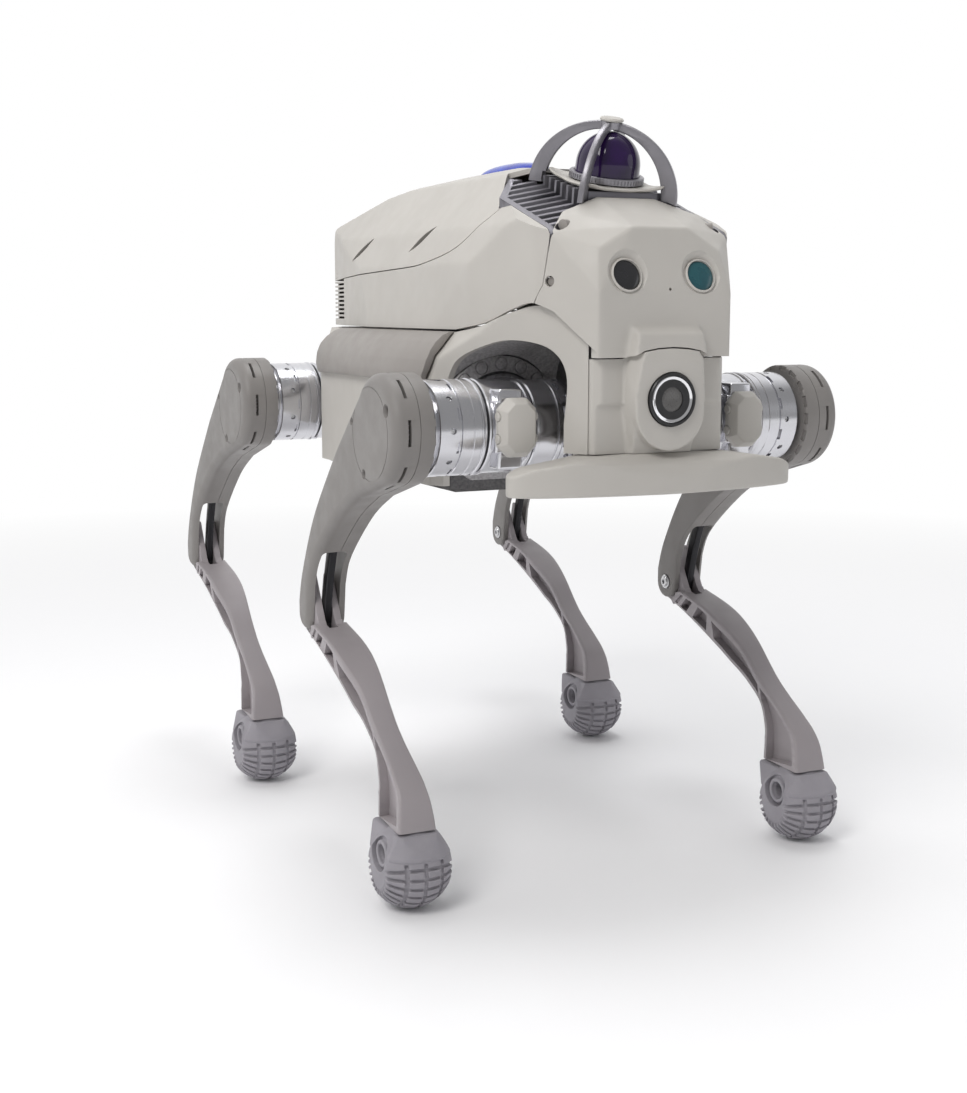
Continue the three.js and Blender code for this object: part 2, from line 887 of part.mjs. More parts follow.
function lidarDome() {
  const radius = 27.4;
  const shoulder = 25;
  const profile = [vec(0, STACK.dome), vec(radius, STACK.dome), vec(radius, shoulder)];
  const steps = 7;
  for (let i = 1; i <= steps; i += 1) {
    const turn = (Math.PI / 2) * (i / steps);
    profile.push(vec(i === steps ? 0 : radius * Math.cos(turn), shoulder + radius * Math.sin(turn)));
  }
  const lathe = new THREE.LatheGeometry(profile, ROUND);
  lathe.rotateX(Math.PI / 2);
  return solid(lathe);
}

const CAGE = { radius: 66, height: 60, width: 14, thick: 5, foot: -13, back: 4 };

// Two crossing flat arches that meet over the dome.
function lidarCage() {
  const { radius, height, width, thick, foot } = CAGE;
  const ellipse = (inset, inward) =>
    arc([0, 0], 1, 0, 180, 16).map(([x, z]) => [(radius - inset) * x, (height - inward) * z]);
  const outline = [
    [radius, foot],
    ...ellipse(0, 0),
    [-radius, foot],
    [width - radius, foot],
    ...ellipse(width, 6).reverse(),
    [radius - width, foot],
  ];
  const strap = prism("x", outline, -thick / 2, thick / 2);
  return strap
    .rotate([0, 0, 45])
    .add(strap.rotate([0, 0, 135]))
    .translate([0, CAGE.back, 0])
    .subtract(intoLidar(neckForm(-0.6).add(pedestal(0.6))))
    .subtract(intoLidar(headForm(-0.8)))
    .subtract(intoLidar(upperForm(-0.8).subtract(neckOpening(-0.5))));
}

// A body of the trunk seen from the lidar's own leaning frame.
function intoLidar(body) {
  return body
    .translate([0, -LIDAR.y, -LIDAR.z])
    .rotate([-THREE.MathUtils.radToDeg(LIDAR.tilt), 0, 0]);
}

function cageCap() {
  return bar("z", 11, CAGE.height + 0.4, CAGE.height + 3, [0, CAGE.back]);
}

function lidarHead() {
  const group = new THREE.Group();
  group.position.set(0, LIDAR.y, LIDAR.z);
  group.rotation.x = LIDAR.tilt;
  group.add(
    mesh("lidar_mounting_plate", lidarPlate(), "cream"),
    mesh("lidar_base_ring", lidarBase(), "sink_grey"),
    mesh("lidar_dome", lidarDome(), "dome_purple"),
    mesh("lidar_cage", lidarCage(), "sink_grey"),
    mesh("lidar_cage_cap", cageCap(), "cream"),
  );
  return group;
}

// ---------------------------------------------------------------- assembly
const robot = new THREE.Group();
robot.add(
  mesh("trunk_frame", trunkFrame(), "charcoal"),
  mesh("battery_pack", batteryPack(), "charcoal"),
  mesh("lower_body_shell", lowerShell(), "cream"),
  mesh("side_flap_right", sideFlap(-1), "taupe"),
  mesh("side_flap_left", sideFlap(1), "taupe"),
  mesh("upper_side_shell", sideShell(), "cream"),
  mesh("rear_top_cover", rearCover(), "cream"),
  mesh("heat_sink", heatSink(), "sink_grey"),
  mesh("back_light", rearLight(), "glow_blue"),
  mesh("head_shell", headShell(), "cream"),
  mesh("jaw_shell", jawShell(), "cream"),
  mesh("front_bumper", bumper(), "cream"),
  mesh("eye_right", eye(-1), "lens_black"),
  mesh("eye_left", eye(1), "lens_teal"),
  mesh("nose_camera", noseCamera(), "lens_black"),
  lidarHead(),
  leg("front_right", -1, -1),
  leg("front_left", 1, -1),
  leg("rear_right", -1, 1),
  leg("rear_left", 1, 1),
);

// The whole robot moves so that its bounding box is centred over the origin.
const box = new THREE.Box3().setFromObject(robot, true);
robot.position.set(0, -(box.min.y + box.max.y) / 2, -box.min.z);
const part = new THREE.Group();
part.add(robot);

export default part;
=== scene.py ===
"""Detailed looks of the quadruped robot dog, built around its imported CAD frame.

Pieces are shaped in millimetres in the robot's own frame: the four hips stand at y = -198
and y = 198, z is the height over the floor, the head faces -y and the robot's left is +x.
Leg pieces are shaped once, for the left side, around the hip axis. place() turns a finished
shape into metres, puts it where the frame has it and lets it ride on its body.
"""

import math

import bmesh
import bpy
from mathutils import Matrix, Vector


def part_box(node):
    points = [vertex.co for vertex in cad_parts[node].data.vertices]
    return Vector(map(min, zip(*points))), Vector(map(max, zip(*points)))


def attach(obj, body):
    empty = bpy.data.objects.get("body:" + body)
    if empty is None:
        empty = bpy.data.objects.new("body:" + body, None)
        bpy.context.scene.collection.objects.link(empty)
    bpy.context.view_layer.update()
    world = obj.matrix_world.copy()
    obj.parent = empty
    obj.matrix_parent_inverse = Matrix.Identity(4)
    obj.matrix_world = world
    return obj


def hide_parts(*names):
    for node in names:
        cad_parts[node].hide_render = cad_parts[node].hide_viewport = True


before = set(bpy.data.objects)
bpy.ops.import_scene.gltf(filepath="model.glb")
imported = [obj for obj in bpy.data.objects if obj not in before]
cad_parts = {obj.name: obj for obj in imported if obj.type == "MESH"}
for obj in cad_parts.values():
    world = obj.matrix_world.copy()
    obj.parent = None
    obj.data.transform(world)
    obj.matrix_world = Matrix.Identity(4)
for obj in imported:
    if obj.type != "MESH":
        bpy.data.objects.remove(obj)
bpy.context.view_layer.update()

MM = 0.001
HIP_Y, HIP_Z, LEG_X, ABDUCTION_X = 198, 396, 198, 80
LEGS = (
    ("front_right", -1, -1),
    ("front_left", 1, -1),
    ("rear_right", -1, 1),
    ("rear_left", 1, 1),
)


def middle(node):
    low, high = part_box(node)
    return (Vector(low) + Vector(high)) / 2


# The frame is centred on its bounding box, so the hips' own middle is a little behind it.
ROBOT_Y = (middle("front_left_hip_motor").y + middle("rear_left_hip_motor").y) / 2


# ---------------------------------------------------------------- making and cutting meshes
def mesh_object(name, points, faces):
    mesh = bpy.data.meshes.new(name)
    mesh.from_pydata([tuple(p) for p in points], [], faces)
    mesh.update()
    body = bpy.data.objects.new(name, mesh)
    bpy.context.scene.collection.objects.link(body)
    return body


def settle(body):
    """Turns the object's modifiers into its mesh."""
    bpy.context.view_layer.update()
    graph = bpy.context.evaluated_depsgraph_get()
    old = body.data
    body.data = bpy.data.meshes.new_from_object(body.evaluated_get(graph))
    body.modifiers.clear()
    bpy.data.meshes.remove(old)
    return body


def boolean(body, tool, operation):
    change = body.modifiers.new("boolean", "BOOLEAN")
    change.operation = operation
    change.solver = "MANIFOLD"
    change.object = tool
    settle(body)
    mesh = tool.data
    bpy.data.objects.remove(tool)
    bpy.data.meshes.remove(mesh)
    return body


def cut(body, *tools):
    for tool in tools:
        boolean(body, tool, "DIFFERENCE")
    return body


def join(body, *tools):
    for tool in tools:
        boolean(body, tool, "UNION")
    return body


def common(body, *tools):
    for tool in tools:
        boolean(body, tool, "INTERSECT")
    return body


def copy(body):
    twin = body.copy()
    twin.data = body.data.copy()
    bpy.context.scene.collection.objects.link(twin)
    return twin


def moved(body, x=0, y=0, z=0):
    body.data.transform(Matrix.Translation((x, y, z)))
    return body


def turned(body, degrees, axis, about=(0, 0, 0)):
    there = Matrix.Translation(about)
    turn = Matrix.Rotation(math.radians(degrees), 4, axis)
    body.data.transform(there @ turn @ there.inverted())
    return body


def flipped(body, axis):
    """The mirror image in the plane through the origin across an axis."""
    scale = [-1 if letter == axis else 1 for letter in "XYZ"]
    body.data.transform(Matrix.Diagonal((*scale, 1)))
    body.data.flip_normals()
    return body


def softened(body, voxel, passes):
    """A solid with its edges rounded: evenly remeshed, then smoothed."""
    remesh = body.modifiers.new("remesh", "REMESH")
    remesh.mode = "VOXEL"
    remesh.voxel_size = voxel
    smooth = body.modifiers.new("smooth", "SMOOTH")
    smooth.factor = 0.5
    smooth.iterations = passes
    return settle(body)


def bevelled(body, width, steps=2, angle=35):
    bevel = body.modifiers.new("bevel", "BEVEL")
    bevel.width = width
    bevel.segments = steps
    bevel.limit_method = "ANGLE"
    bevel.angle_limit = math.radians(angle)
    bevel.use_clamp_overlap = True
    return settle(body)


def shaded(body, angle=32):
    """Smooth shading that keeps the edges sharper than an angle."""
    mesh = body.data
    work = bmesh.new()
    work.from_mesh(mesh)
    for face in work.faces:
        face.smooth = True
    for edge in work.edges:
        edge.smooth = edge.calc_face_angle(0) < math.radians(angle)
    work.to_mesh(mesh)
    work.free()
    return body


# ---------------------------------------------------------------- outlines
def arc(centre, radius, start, end, steps):
    turns = [math.radians(start + (end - start) * i / steps) for i in range(steps + 1)]
    return [(centre[0] + radius * math.cos(t), centre[1] + radius * math.sin(t)) for t in turns]


def curve(points, steps):
    """Points along a Catmull-Rom curve through a few points."""
    ends = [points[0], *points, points[-1]]
    found = []
    for i in range(steps + 1):
        t = i / steps * (len(points) - 1)
        k = min(int(t), len(points) - 2)
        t -= k
        a, b, c, d = ends[k : k + 4]
        found.append(
            tuple(
                0.5
                * (2 * q + (r - p) * t + (2 * p - 5 * q + 4 * r - s) * t**2 + (3 * q - p - 3 * r + s) * t**3)
                for p, q, r, s in zip(a, b, c, d)
            )
        )
    return found


def both_sides(half):
    """A closed outline, symmetric in its first coordinate."""
    return [*half, *[(-x, v) for x, v in reversed(half) if x]]


def swapped(outline):
    return [(v, u) for u, v in outline]


def anticlockwise(outline):
    area = sum(a[0] * b[1] - b[0] * a[1] for a, b in zip(outline, [*outline[1:], outline[0]]))
    return list(outline) if area > 0 else list(reversed(outline))


def inset(outline, depth):
    """An anticlockwise outline moved inwards, corner by corner."""
    found = []
    for before, here, after in zip([outline[-1], *outline[:-1]], outline, [*outline[1:], outline[0]]):
        one = Vector((here[0] - before[0], here[1] - before[1])).normalized()
        two = Vector((after[0] - here[0], after[1] - here[1])).normalized()
        normal = Vector((-one.y - two.y, one.x + two.x))
        normal.normalize()
        reach = depth / max(normal.dot(Vector((-one.y, one.x))), 0.4)
        found.append((here[0] + normal.x * reach, here[1] + normal.y * reach))
    return found


# ---------------------------------------------------------------- solids
def along(axis, u, v, w):
    """A point of an outline (u, v) at w along an axis."""
    return {"x": (w, u, v), "y": (v, w, u), "z": (u, v, w)}[axis]


def loft(rings, name="loft"):
    """A closed skin over rings of equally many points."""
    count = len(rings[0])
    faces = [
        (a * count + i, a * count + (i + 1) % count, (a + 1) * count + (i + 1) % count, (a + 1) * count + i)
        for a in range(len(rings) - 1)
        for i in range(count)
    ]
    top = (len(rings) - 1) * count
    faces += [tuple(reversed(range(count))), tuple(range(top, top + count))]
    return mesh_object(name, [p for ring in rings for p in ring], faces)


def prism(axis, outline, low, high):
    shape = anticlockwise(outline)
    return loft([[along(axis, u, v, w) for u, v in shape] for w in (low, high)])


def rounded(axis, outline, low, high, low_radius, high_radius, steps=5):
    """A prism whose two end faces have rounded rims."""
    shape = anticlockwise(outline)
    rings = []
    for radius, end, sign in ((low_radius, low, 1), (high_radius, high, -1)):
        turns = [math.pi / 2 * i / steps for i in range(steps + 1)]
        if sign < 0:
            turns.reverse()
        for turn in turns:
            rim = inset(shape, radius * (1 - math.sin(turn))) if radius else shape
            w = end + sign * radius * (1 - math.cos(turn))
            rings.append([along(axis, u, v, w) for u, v in rim])
            if not radius:
                break
    return loft(rings)


def bar(axis, radius, low, high, centre=(0, 0), steps=48):
    return prism(axis, arc(centre, radius, 0, 360, steps)[1:], low, high)


def knob(axis, radius, low, high, centre=(0, 0), rim=0.6, steps=32):
    """A round bar with rounded rims."""
    return rounded(axis, arc(centre, radius, 0, 360, steps)[1:], low, high, rim, rim, 3)


def block(low, high):
    (x0, y0, z0), (x1, y1, z1) = low, high
    return prism("z", [(x0, y0), (x1, y0), (x1, y1), (x0, y1)], z0, z1)


def lathe(axis, profile, steps=96, centre=(0, 0)):
    """A turned solid. The profile is (place along the axis, radius), closed on itself."""
    rings = []
    for i in range(steps):
        turn = 2 * math.pi * i / steps
        rings.append(
            [
                along(axis, centre[0] + r * math.cos(turn), centre[1] + r * math.sin(turn), w)
                for w, r in profile
            ]
        )
    count = len(profile)
    faces = [
        (
            a * count + i,
            a * count + (i + 1) % count,
            ((a + 1) % steps) * count + (i + 1) % count,
            ((a + 1) % steps) * count + i,
        )
        for a in range(steps)
        for i in range(count)
    ]
    body = mesh_object("lathe", [p for ring in rings for p in ring], faces)
    return upright(body)


def upright(body):
    """Welds doubled points on the axis and turns all faces outwards."""
    work = bmesh.new()
    work.from_mesh(body.data)
    bmesh.ops.remove_doubles(work, verts=work.verts, dist=1e-4)
    bmesh.ops.recalc_face_normals(work, faces=work.faces)
    work.to_mesh(body.data)
    work.free()
    return body


def hull(points):
    """The smallest convex solid around some points."""
    work = bmesh.new()
    for point in points:
        work.verts.new(point)
    bmesh.ops.convex_hull(work, input=work.verts)
    loose = [v for v in work.verts if not v.link_faces]
    bmesh.ops.delete(work, geom=loose, context="VERTS")
    bmesh.ops.recalc_face_normals(work, faces=work.faces)
    bmesh.ops.dissolve_limit(work, angle_limit=0.01, verts=work.verts, edges=work.edges)
    mesh = bpy.data.meshes.new("hull")
    work.to_mesh(mesh)
    work.free()
    body = bpy.data.objects.new("hull", mesh)
    bpy.context.scene.collection.objects.link(body)
    return body


def mirrored(points):
    """Points with their mirror images in the plane x = 0."""
    return [q for x, y, z in points for q in (((x, y, z), (-x, y, z)) if x else ((x, y, z),))]


# ---------------------------------------------------------------- materials
class Paint:
    """A node material made step by step; every socket it sets is the shader's own."""

    def __init__(self, name, colour, roughness, metallic=0.0):
        self.material = bpy.data.materials.new(name)
        self.material.use_nodes = True
        self.nodes = self.material.node_tree.nodes
        self.links = self.material.node_tree.links
        self.shader = self.nodes["Principled BSDF"]
        self.place = self.nodes.new("ShaderNodeTexCoord").outputs["Object"]
        self.colour = self.rgb(colour)
        self.roughness = roughness
        self.shader.inputs["Metallic"].default_value = metallic
        self.height = None
        self.bump_strength = 0.0
        self.bump_distance = 0.0

    def rgb(self, colour):
        node = self.nodes.new("ShaderNodeRGB")
        node.outputs[0].default_value = (*colour, 1)
        return node.outputs[0]

    def noise(self, scale, detail=3.0, stretch=None):
        node = self.nodes.new("ShaderNodeTexNoise")
        node.inputs["Scale"].default_value = scale
        node.inputs["Detail"].default_value = detail
        start = self.place
        if stretch:
            mapping = self.nodes.new("ShaderNodeMapping")
            mapping.inputs["Scale"].default_value = stretch
            self.links.new(start, mapping.inputs["Vector"])
            start = mapping.outputs["Vector"]
        self.links.new(start, node.inputs["Vector"])
        return node.outputs["Fac"]

    def ramp(self, value, low, high, start=0.35, end=0.65):
        node = self.nodes.new("ShaderNodeMapRange")
        node.inputs["From Min"].default_value = start
        node.inputs["From Max"].default_value = end
        node.inputs["To Min"].default_value = low
        node.inputs["To Max"].default_value = high
        self.links.new(value, node.inputs["Value"])
        return node.outputs["Result"]

    def tint(self, factor, colour, blend="MIX"):
        node = self.nodes.new("ShaderNodeMix")
        node.data_type = "RGBA"
        node.blend_type = blend
        self.links.new(factor, node.inputs["Factor"])
        self.links.new(self.colour, node.inputs["A"])
        node.inputs["B"].default_value = (*colour, 1)
        self.colour = node.outputs["Result"]
        return self

    def mottle(self, scale, amount, colour):
        """Slow variation of the colour over the surface."""
        return self.tint(self.ramp(self.noise(scale), 0.0, amount), colour)

    def painted_edge_highlights(self, colour, amount):
        """Painted highlight: edges stand out a little paler, as if light caught them."""
        edge = self.nodes.new("ShaderNodeNewGeometry").outputs["Pointiness"]
        return self.tint(self.ramp(edge, 0.0, amount, 0.52, 0.6), colour)

    def uneven(self, scale, low, high, stretch=None):
        """Roughness that varies between two values."""
        self.roughness = self.ramp(self.noise(scale, 4.0, stretch), low, high)
        return self

    def grain(self, scale, strength, distance, detail=2.0, stretch=None):
        """Fine relief."""
        node = self.nodes.new("ShaderNodeBump")
        node.inputs["Strength"].default_value = strength
        node.inputs["Distance"].default_value = distance
        self.links.new(self.noise(scale, detail, stretch), node.inputs["Height"])
        if self.height is not None:
            self.links.new(self.height, node.inputs["Normal"])
        self.height = node.outputs["Normal"]
        return self

    def set(self, socket, value):
        self.shader.inputs[socket].default_value = value
        return self

    def done(self):
        self.links.new(self.colour, self.shader.inputs["Base Color"])
        if isinstance(self.roughness, float):
            self.shader.inputs["Roughness"].default_value = self.roughness
        else:
            self.links.new(self.roughness, self.shader.inputs["Roughness"])
        if self.height is not None:
            self.links.new(self.height, self.shader.inputs["Normal"])
        return self.material


def moulded(name, colour, roughness=0.5, edge=0.25):
    """Injection-moulded plastic: fine spark-eroded grain, faint blotches of tone and edges painted a little
    paler as highlights.
    """
    pale = tuple(min(1.0, c * 1.25 + 0.02) for c in colour)
    dark = tuple(c * 0.86 for c in colour)
    return (
        Paint(name, colour, roughness)
        .mottle(14, 0.35, dark)
        # Painted highlight: the edges are tinted paler.
        .painted_edge_highlights(pale, edge)
        .uneven(60, roughness - 0.06, roughness + 0.08)
        .grain(1500, 0.12, 0.0004)
        .set("Specular IOR Level", 0.42)
        .done()
    )


def turned_metal(name, colour, roughness):
    """Machined aluminium with fine turning marks around the leg's cross axis."""
    return (
        Paint(name, colour, roughness, metallic=1.0)
        .mottle(25, 0.25, tuple(c * 0.8 for c in colour))
        .uneven(20, roughness - 0.03, roughness + 0.05, stretch=(60, 0, 0))
        .grain(60, 0.02, 0.0001, 2.0, stretch=(60, 0, 0))
        .done()
    )


def coated_metal(name, colour, roughness):
    return (
        Paint(name, colour, roughness, metallic=0.75)
        .mottle(20, 0.3, tuple(c * 0.8 for c in colour))
        # Painted highlight: the edges are tinted paler.
        .painted_edge_highlights(tuple(min(1.0, c * 1.5 + 0.04) for c in colour), 0.4)
        .uneven(90, roughness - 0.07, roughness + 0.07)
        .grain(1200, 0.1, 0.0003)
        .done()
    )


CREAM = moulded("cream_shell_plastic", (0.5, 0.48, 0.45), 0.5)
TAUPE = moulded("taupe_flap_plastic", (0.29, 0.27, 0.255), 0.5)
THIGH_GREY = moulded("thigh_grey_plastic", (0.22, 0.208, 0.2), 0.46)
SHANK_GREY = moulded("shank_grey_plastic", (0.34, 0.312, 0.325), 0.46)
SILVER = turned_metal("turned_aluminium", (0.66, 0.66, 0.69), 0.2)
STEEL = turned_metal("fastener_steel", (0.62, 0.62, 0.63), 0.28)
SINK_GREY = coated_metal("anodised_heat_sink", (0.17, 0.165, 0.185), 0.42)
CAGE_GREY = coated_metal("guard_grey_paint", (0.27, 0.262, 0.285), 0.42)
LINK_BLACK = coated_metal("black_link_coating", (0.03, 0.03, 0.033), 0.4)
CHARCOAL = (
    Paint("charcoal_chassis", (0.085, 0.082, 0.084), 0.6)
    .mottle(400, 0.7, (0.15, 0.146, 0.148))
    .uneven(120, 0.5, 0.72)
    .grain(700, 0.5, 0.0012)
    .done()
)
# A paler copy of the charcoal for the arch liners and motor collars: painted light that lifts the shade deep
# in the leg arches.
CHARCOAL_PAINTED_LIGHTER = (
    Paint("arch_charcoal_painted_lighter", (0.3, 0.29, 0.295), 0.6)
    .mottle(400, 0.7, (0.5, 0.488, 0.494))
    .uneven(120, 0.5, 0.72)
    .grain(700, 0.5, 0.0012)
    .done()
)
RUBBER = (
    Paint("foot_rubber", (0.33, 0.315, 0.345), 0.62)
    .mottle(30, 0.5, (0.26, 0.25, 0.275))
    # Painted highlight: the rubber's edges are tinted paler.
    .painted_edge_highlights((0.46, 0.445, 0.47), 0.5)
    .uneven(80, 0.55, 0.75)
    .grain(900, 0.2, 0.0006)
    .set("Specular IOR Level", 0.35)
    .done()
)
BLACK = (
    Paint("camera_black", (0.012, 0.012, 0.013), 0.35)
    .mottle(200, 0.4, (0.025, 0.025, 0.027))
    .uneven(100, 0.28, 0.42)
    .grain(1500, 0.08, 0.0003)
    .done()
)
MIRROR = (
    Paint("camera_ring_metal", (0.86, 0.86, 0.88), 0.12, metallic=1.0)
    .mottle(60, 0.2, (0.7, 0.7, 0.73))
    .uneven(90, 0.08, 0.18)
    .done()
)
CAMERA_GLASS = (
    Paint("camera_cover_grey", (0.085, 0.082, 0.08), 0.3)
    .mottle(900, 0.5, (0.12, 0.117, 0.115))
    .uneven(500, 0.25, 0.4)
    .set("Coat Weight", 0.4)
    .done()
)
EYE_BLACK = (
    Paint("eye_window_black", (0.012, 0.012, 0.014), 0.22)
    .mottle(40, 0.5, (0.02, 0.02, 0.024))
    .uneven(60, 0.18, 0.3)
    .set("Coat Weight", 0.5)
    .done()
)
EYE_TEAL = (
    Paint("eye_window_teal", (0.008, 0.07, 0.09), 0.25)
    .mottle(60, 0.6, (0.012, 0.1, 0.115))
    .uneven(60, 0.2, 0.33)
    .set("Coat Weight", 0.5)
    .done()
)
DOME_VIOLET = (
    Paint("lidar_window_violet", (0.011, 0.004, 0.03), 0.1)
    .mottle(35, 0.6, (0.03, 0.008, 0.075))
    .uneven(25, 0.08, 0.16)
    .set("Specular IOR Level", 0.3)
    .set("Coat Weight", 0.25)
    .set("Coat Roughness", 0.04)
    .done()
)
LIGHT_BLUE = (
    Paint("back_light_blue", (0.006, 0.02, 0.33), 0.12)
    .mottle(45, 0.7, (0.01, 0.08, 0.6))
    .uneven(30, 0.12, 0.22)
    .set("Specular IOR Level", 0.3)
    .set("Coat Weight", 0.1)
    .done()
)


# ---------------------------------------------------------------- putting pieces in place
def place(body, name, material, rides_on, matrix=None, nodes=(), angle=32):
    """Finishes a piece: metres, its own frame place, shading, material and body."""
    shaded(body, angle)
    matrix = matrix or Matrix.Identity(4)
    whole = Matrix.Translation((0, ROBOT_Y, 0)) @ Matrix.Scale(MM, 4) @ matrix
    body.data.transform(whole)
    if whole.determinant() < 0:
        body.data.flip_normals()
    body.name = name
    body.data.name = name
    body.data.materials.clear()
    body.data.materials.append(material)
    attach(body, rides_on)
    if nodes:
        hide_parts(*nodes)
    return body


def on_legs(body, part, material, group, nodes=(), hip=False, angle=32):
    """Puts a copy of a left-leg shape on each leg. Hip pieces are turned round at the rear."""
    for leg, side, end in LEGS:
        scale = (side, -end if hip else 1, 1, 1)
        matrix = Matrix.Translation((side * LEG_X, end * HIP_Y, HIP_Z)) @ Matrix.Diagonal(scale)
        names = [f"{leg}_{node}" for node in nodes]
        place(copy(body), f"{leg}_{part}", material, f"{leg}_{group}", matrix, names, angle)
    bpy.data.objects.remove(body)


# ---------------------------------------------------------------- leg
KNEE = (183.5, -183.5)
LEVER = (-11.3137, -11.3137)
KNEE_LEVER = (KNEE[0] + LEVER[0], KNEE[1] + LEVER[1])
THIGH_HALF, THIGH_WALL, HEAD, TIP, WINDOW_TOP = 18, 6, 46, 16, -121


def out(x):
    """A distance from the robot's middle plane, as a leg x."""
    return x - LEG_X


def thigh_outline(depth=0.0):
    head, tip = HEAD - depth, TIP - depth
    ky, kz = KNEE
    back = [
        (94 - depth * 0.6, -22 - depth * 0.8),
        (153 - depth * 0.8, -84 - depth * 0.6),
        (188 - depth, -140),
        (ky + tip, kz + 12),
    ]
    front = [
        (ky - tip - 4, kz + 28),
        (148 + depth, -128 + depth * 0.3),
        (92 + depth * 0.6, -84 + depth * 0.8),
        (44 + depth * 0.3, -60 + depth),
    ]
    return [
        *arc((0, 0), head, -105, -322, 44),
        *curve(back, 20),
        *arc(KNEE, tip, 0, -180, 20),
        *curve(front, 20),
    ]


def rim_slots(radius, x0, x1, turns, sweep):
    """Curved slots cut into a round rim around the hip axis."""
    tools = []
    for turn in turns:
        start, end = turn - sweep / 2, turn + sweep / 2
        outline = [*arc((0, 0), radius + 4, start, end, 6), *arc((0, 0), radius - 5, end, start, 6)]
        tools.append(prism("x", outline, x0, x1))
    return tools


def thigh():
    inside = THIGH_HALF - THIGH_WALL
    body = rounded("x", thigh_outline(), -THIGH_HALF, THIGH_HALF, 1.5, 9, 6)
    hollow = prism("x", thigh_outline(5), -inside, inside)
    corner = 3.5
    arch = [
        (-230, -inside),
        *arc((WINDOW_TOP - corner, -inside + corner), corner, 270, 360, 6),
        *arc((WINDOW_TOP - corner, inside - corner), corner, 0, 90, 6),
        (-230, inside),
    ]
    front_window = prism("y", arch, 60, 169)
    rear_window = prism("y", [(z + 12 if z > -200 else z, x) for z, x in arch], 150, 230)
    parting = prism("x", inset(anticlockwise(thigh_outline()), -3), -4.6, -4.0)
    parting = cut(parting, prism("x", thigh_outline(0.7), -6, -2))
    # A shallow step bounds the flat cover disc on the outer face.
    disc_edge = cut(
        bar("x", 39, THIGH_HALF - 0.5, THIGH_HALF + 1, (8, -4), 96),
        bar("x", 38.2, THIGH_HALF - 1, THIGH_HALF + 2, (8, -4), 96),
    )
    cut(body, hollow, front_window, rear_window, parting, disc_edge)
    cut(body, *rim_slots(HEAD, 3.5, 6.3, (30, 80, 130, 180, 230, 268), 27))
    cut(body, *rim_slots(HEAD + 1, -THIGH_HALF - 1, -THIGH_HALF + 1.3, range(40, 260, 20), 13))
    for centre, radius in (((-27, 17), 4.5), ((50, 4), 2.4), ((23, -38), 3.2)):
        cut(body, bar("x", radius, 8, THIGH_HALF + 2, centre, 32))
        rim = hull([along("x", *p, 16.2) for p in arc(centre, radius, 0, 360, 32)[1:]]
                   + [along("x", *p, 18.6) for p in arc(centre, radius + 1.4, 0, 360, 32)[1:]])
        cut(body, rim)
    for centre, radius in (((52, -30), 4.2), ((78, -50), 2.4), ((118, -74), 2.4)):
        cut(body, bar("x", radius, -THIGH_HALF - 1, -10, centre, 32))
    cut(body, bar("x", 6.5, -14.6, 14.6, KNEE), bar("x", 6.5, -THIGH_HALF - 1, 1 - inside, (0, 0)))
    cut(body, bar("x", 8.2, -THIGH_HALF - 1, -THIGH_HALF + 0.9, KNEE))
    return body


def knee_bolt():
    """Flanged socket screw in the thigh's inner face, on the knee axis."""
    face = -THIGH_HALF
    body = lathe("x", [(face + 0.6, 0), (face + 0.6, 7.4), (face - 0.6, 7.4), (face - 1.1, 6.6),
                       (face - 1.1, 5.2), (face - 2.4, 4.8), (face - 2.7, 4.2), (face - 2.7, 0)], 48, KNEE)
    return cut(body, bar("x", 2.6, face - 4, face - 0.9, KNEE, 6))


def knee_crank():
    disc = (THIGH_WALL - THIGH_HALF + 1.5, -4)
    body = lathe("x", [(disc[0], 0), (disc[0], 21), (disc[0] + 1, 22), (disc[1] - 1, 22), (disc[1], 21),
                       (disc[1], 0)], 64)
    join(body, knob("x", 6, -17.5, disc[0] + 1), knob("x", 3, disc[1] - 1, 3.5, LEVER, 0.4))
    return body


def knee_link():
    """Bent rod between the crank and the lever on the shank, with an eye at each end."""
    centres = curve([LEVER, (18, -34), (76, -52), (134, -96), (157, -138), KNEE_LEVER], 36)
    edges = {5: [], -5: []}
    for i, here in enumerate(centres):
        before, after = centres[max(i - 1, 0)], centres[min(i + 1, len(centres) - 1)]
        way = Vector((after[0] - before[0], after[1] - before[1])).normalized()
        for offset, edge in edges.items():
            edge.append((here[0] - offset * way.y, here[1] + offset * way.x))
    body = rounded("x", [*edges[5], *reversed(edges[-5])], -3.5, 3.5, 1, 1, 3)
    for centre in (LEVER, KNEE_LEVER):
        join(body, knob("x", 7, -3.5, 3.5, centre, 0.8))
    for centre in (LEVER, KNEE_LEVER):
        cut(body, bar("x", 3.5, -5, 5, centre, 32))
    return body


TONGUE = (184, -151)
SHANK_FRONT = [
    (158, -190), (116, -199), (86, -210), (55, -227), (22, -255), (-18, -282), (-38, -300), (-45, -327),
]
SHANK_REAR = [(193, -200), (145, -216), (78, -244), (46, -262), (24, -279), (14, -302), (14, -328)]
SHANK_POCKETS = ((0.03, 0.055), (0.07, 0.105), (0.125, 0.2), (0.225, 0.56), (0.59, 0.97))
SHANK_STEPS = 60
SHANK_WIDTHS = ((0.0, 16.5), (0.22, 16.5), (0.5, 11.5), (0.62, 11.2), (0.8, 13), (1.0, 16.8))


def between(stations, t):
    for (t0, a), (t1, b) in zip(stations, stations[1:]):
        if t <= t1:
            share = (t - t0) / (t1 - t0)
            return a + (b - a) * (3 * share**2 - 2 * share**3)
    return stations[-1][1]


def shank_station(t):
    """Front point, rear point and half width of the shank at a share of its length."""
    front, rear = curve(SHANK_FRONT, SHANK_STEPS), curve(SHANK_REAR, SHANK_STEPS)
    i = round(t * SHANK_STEPS)
    return front[i], rear[i], between(SHANK_WIDTHS, t)


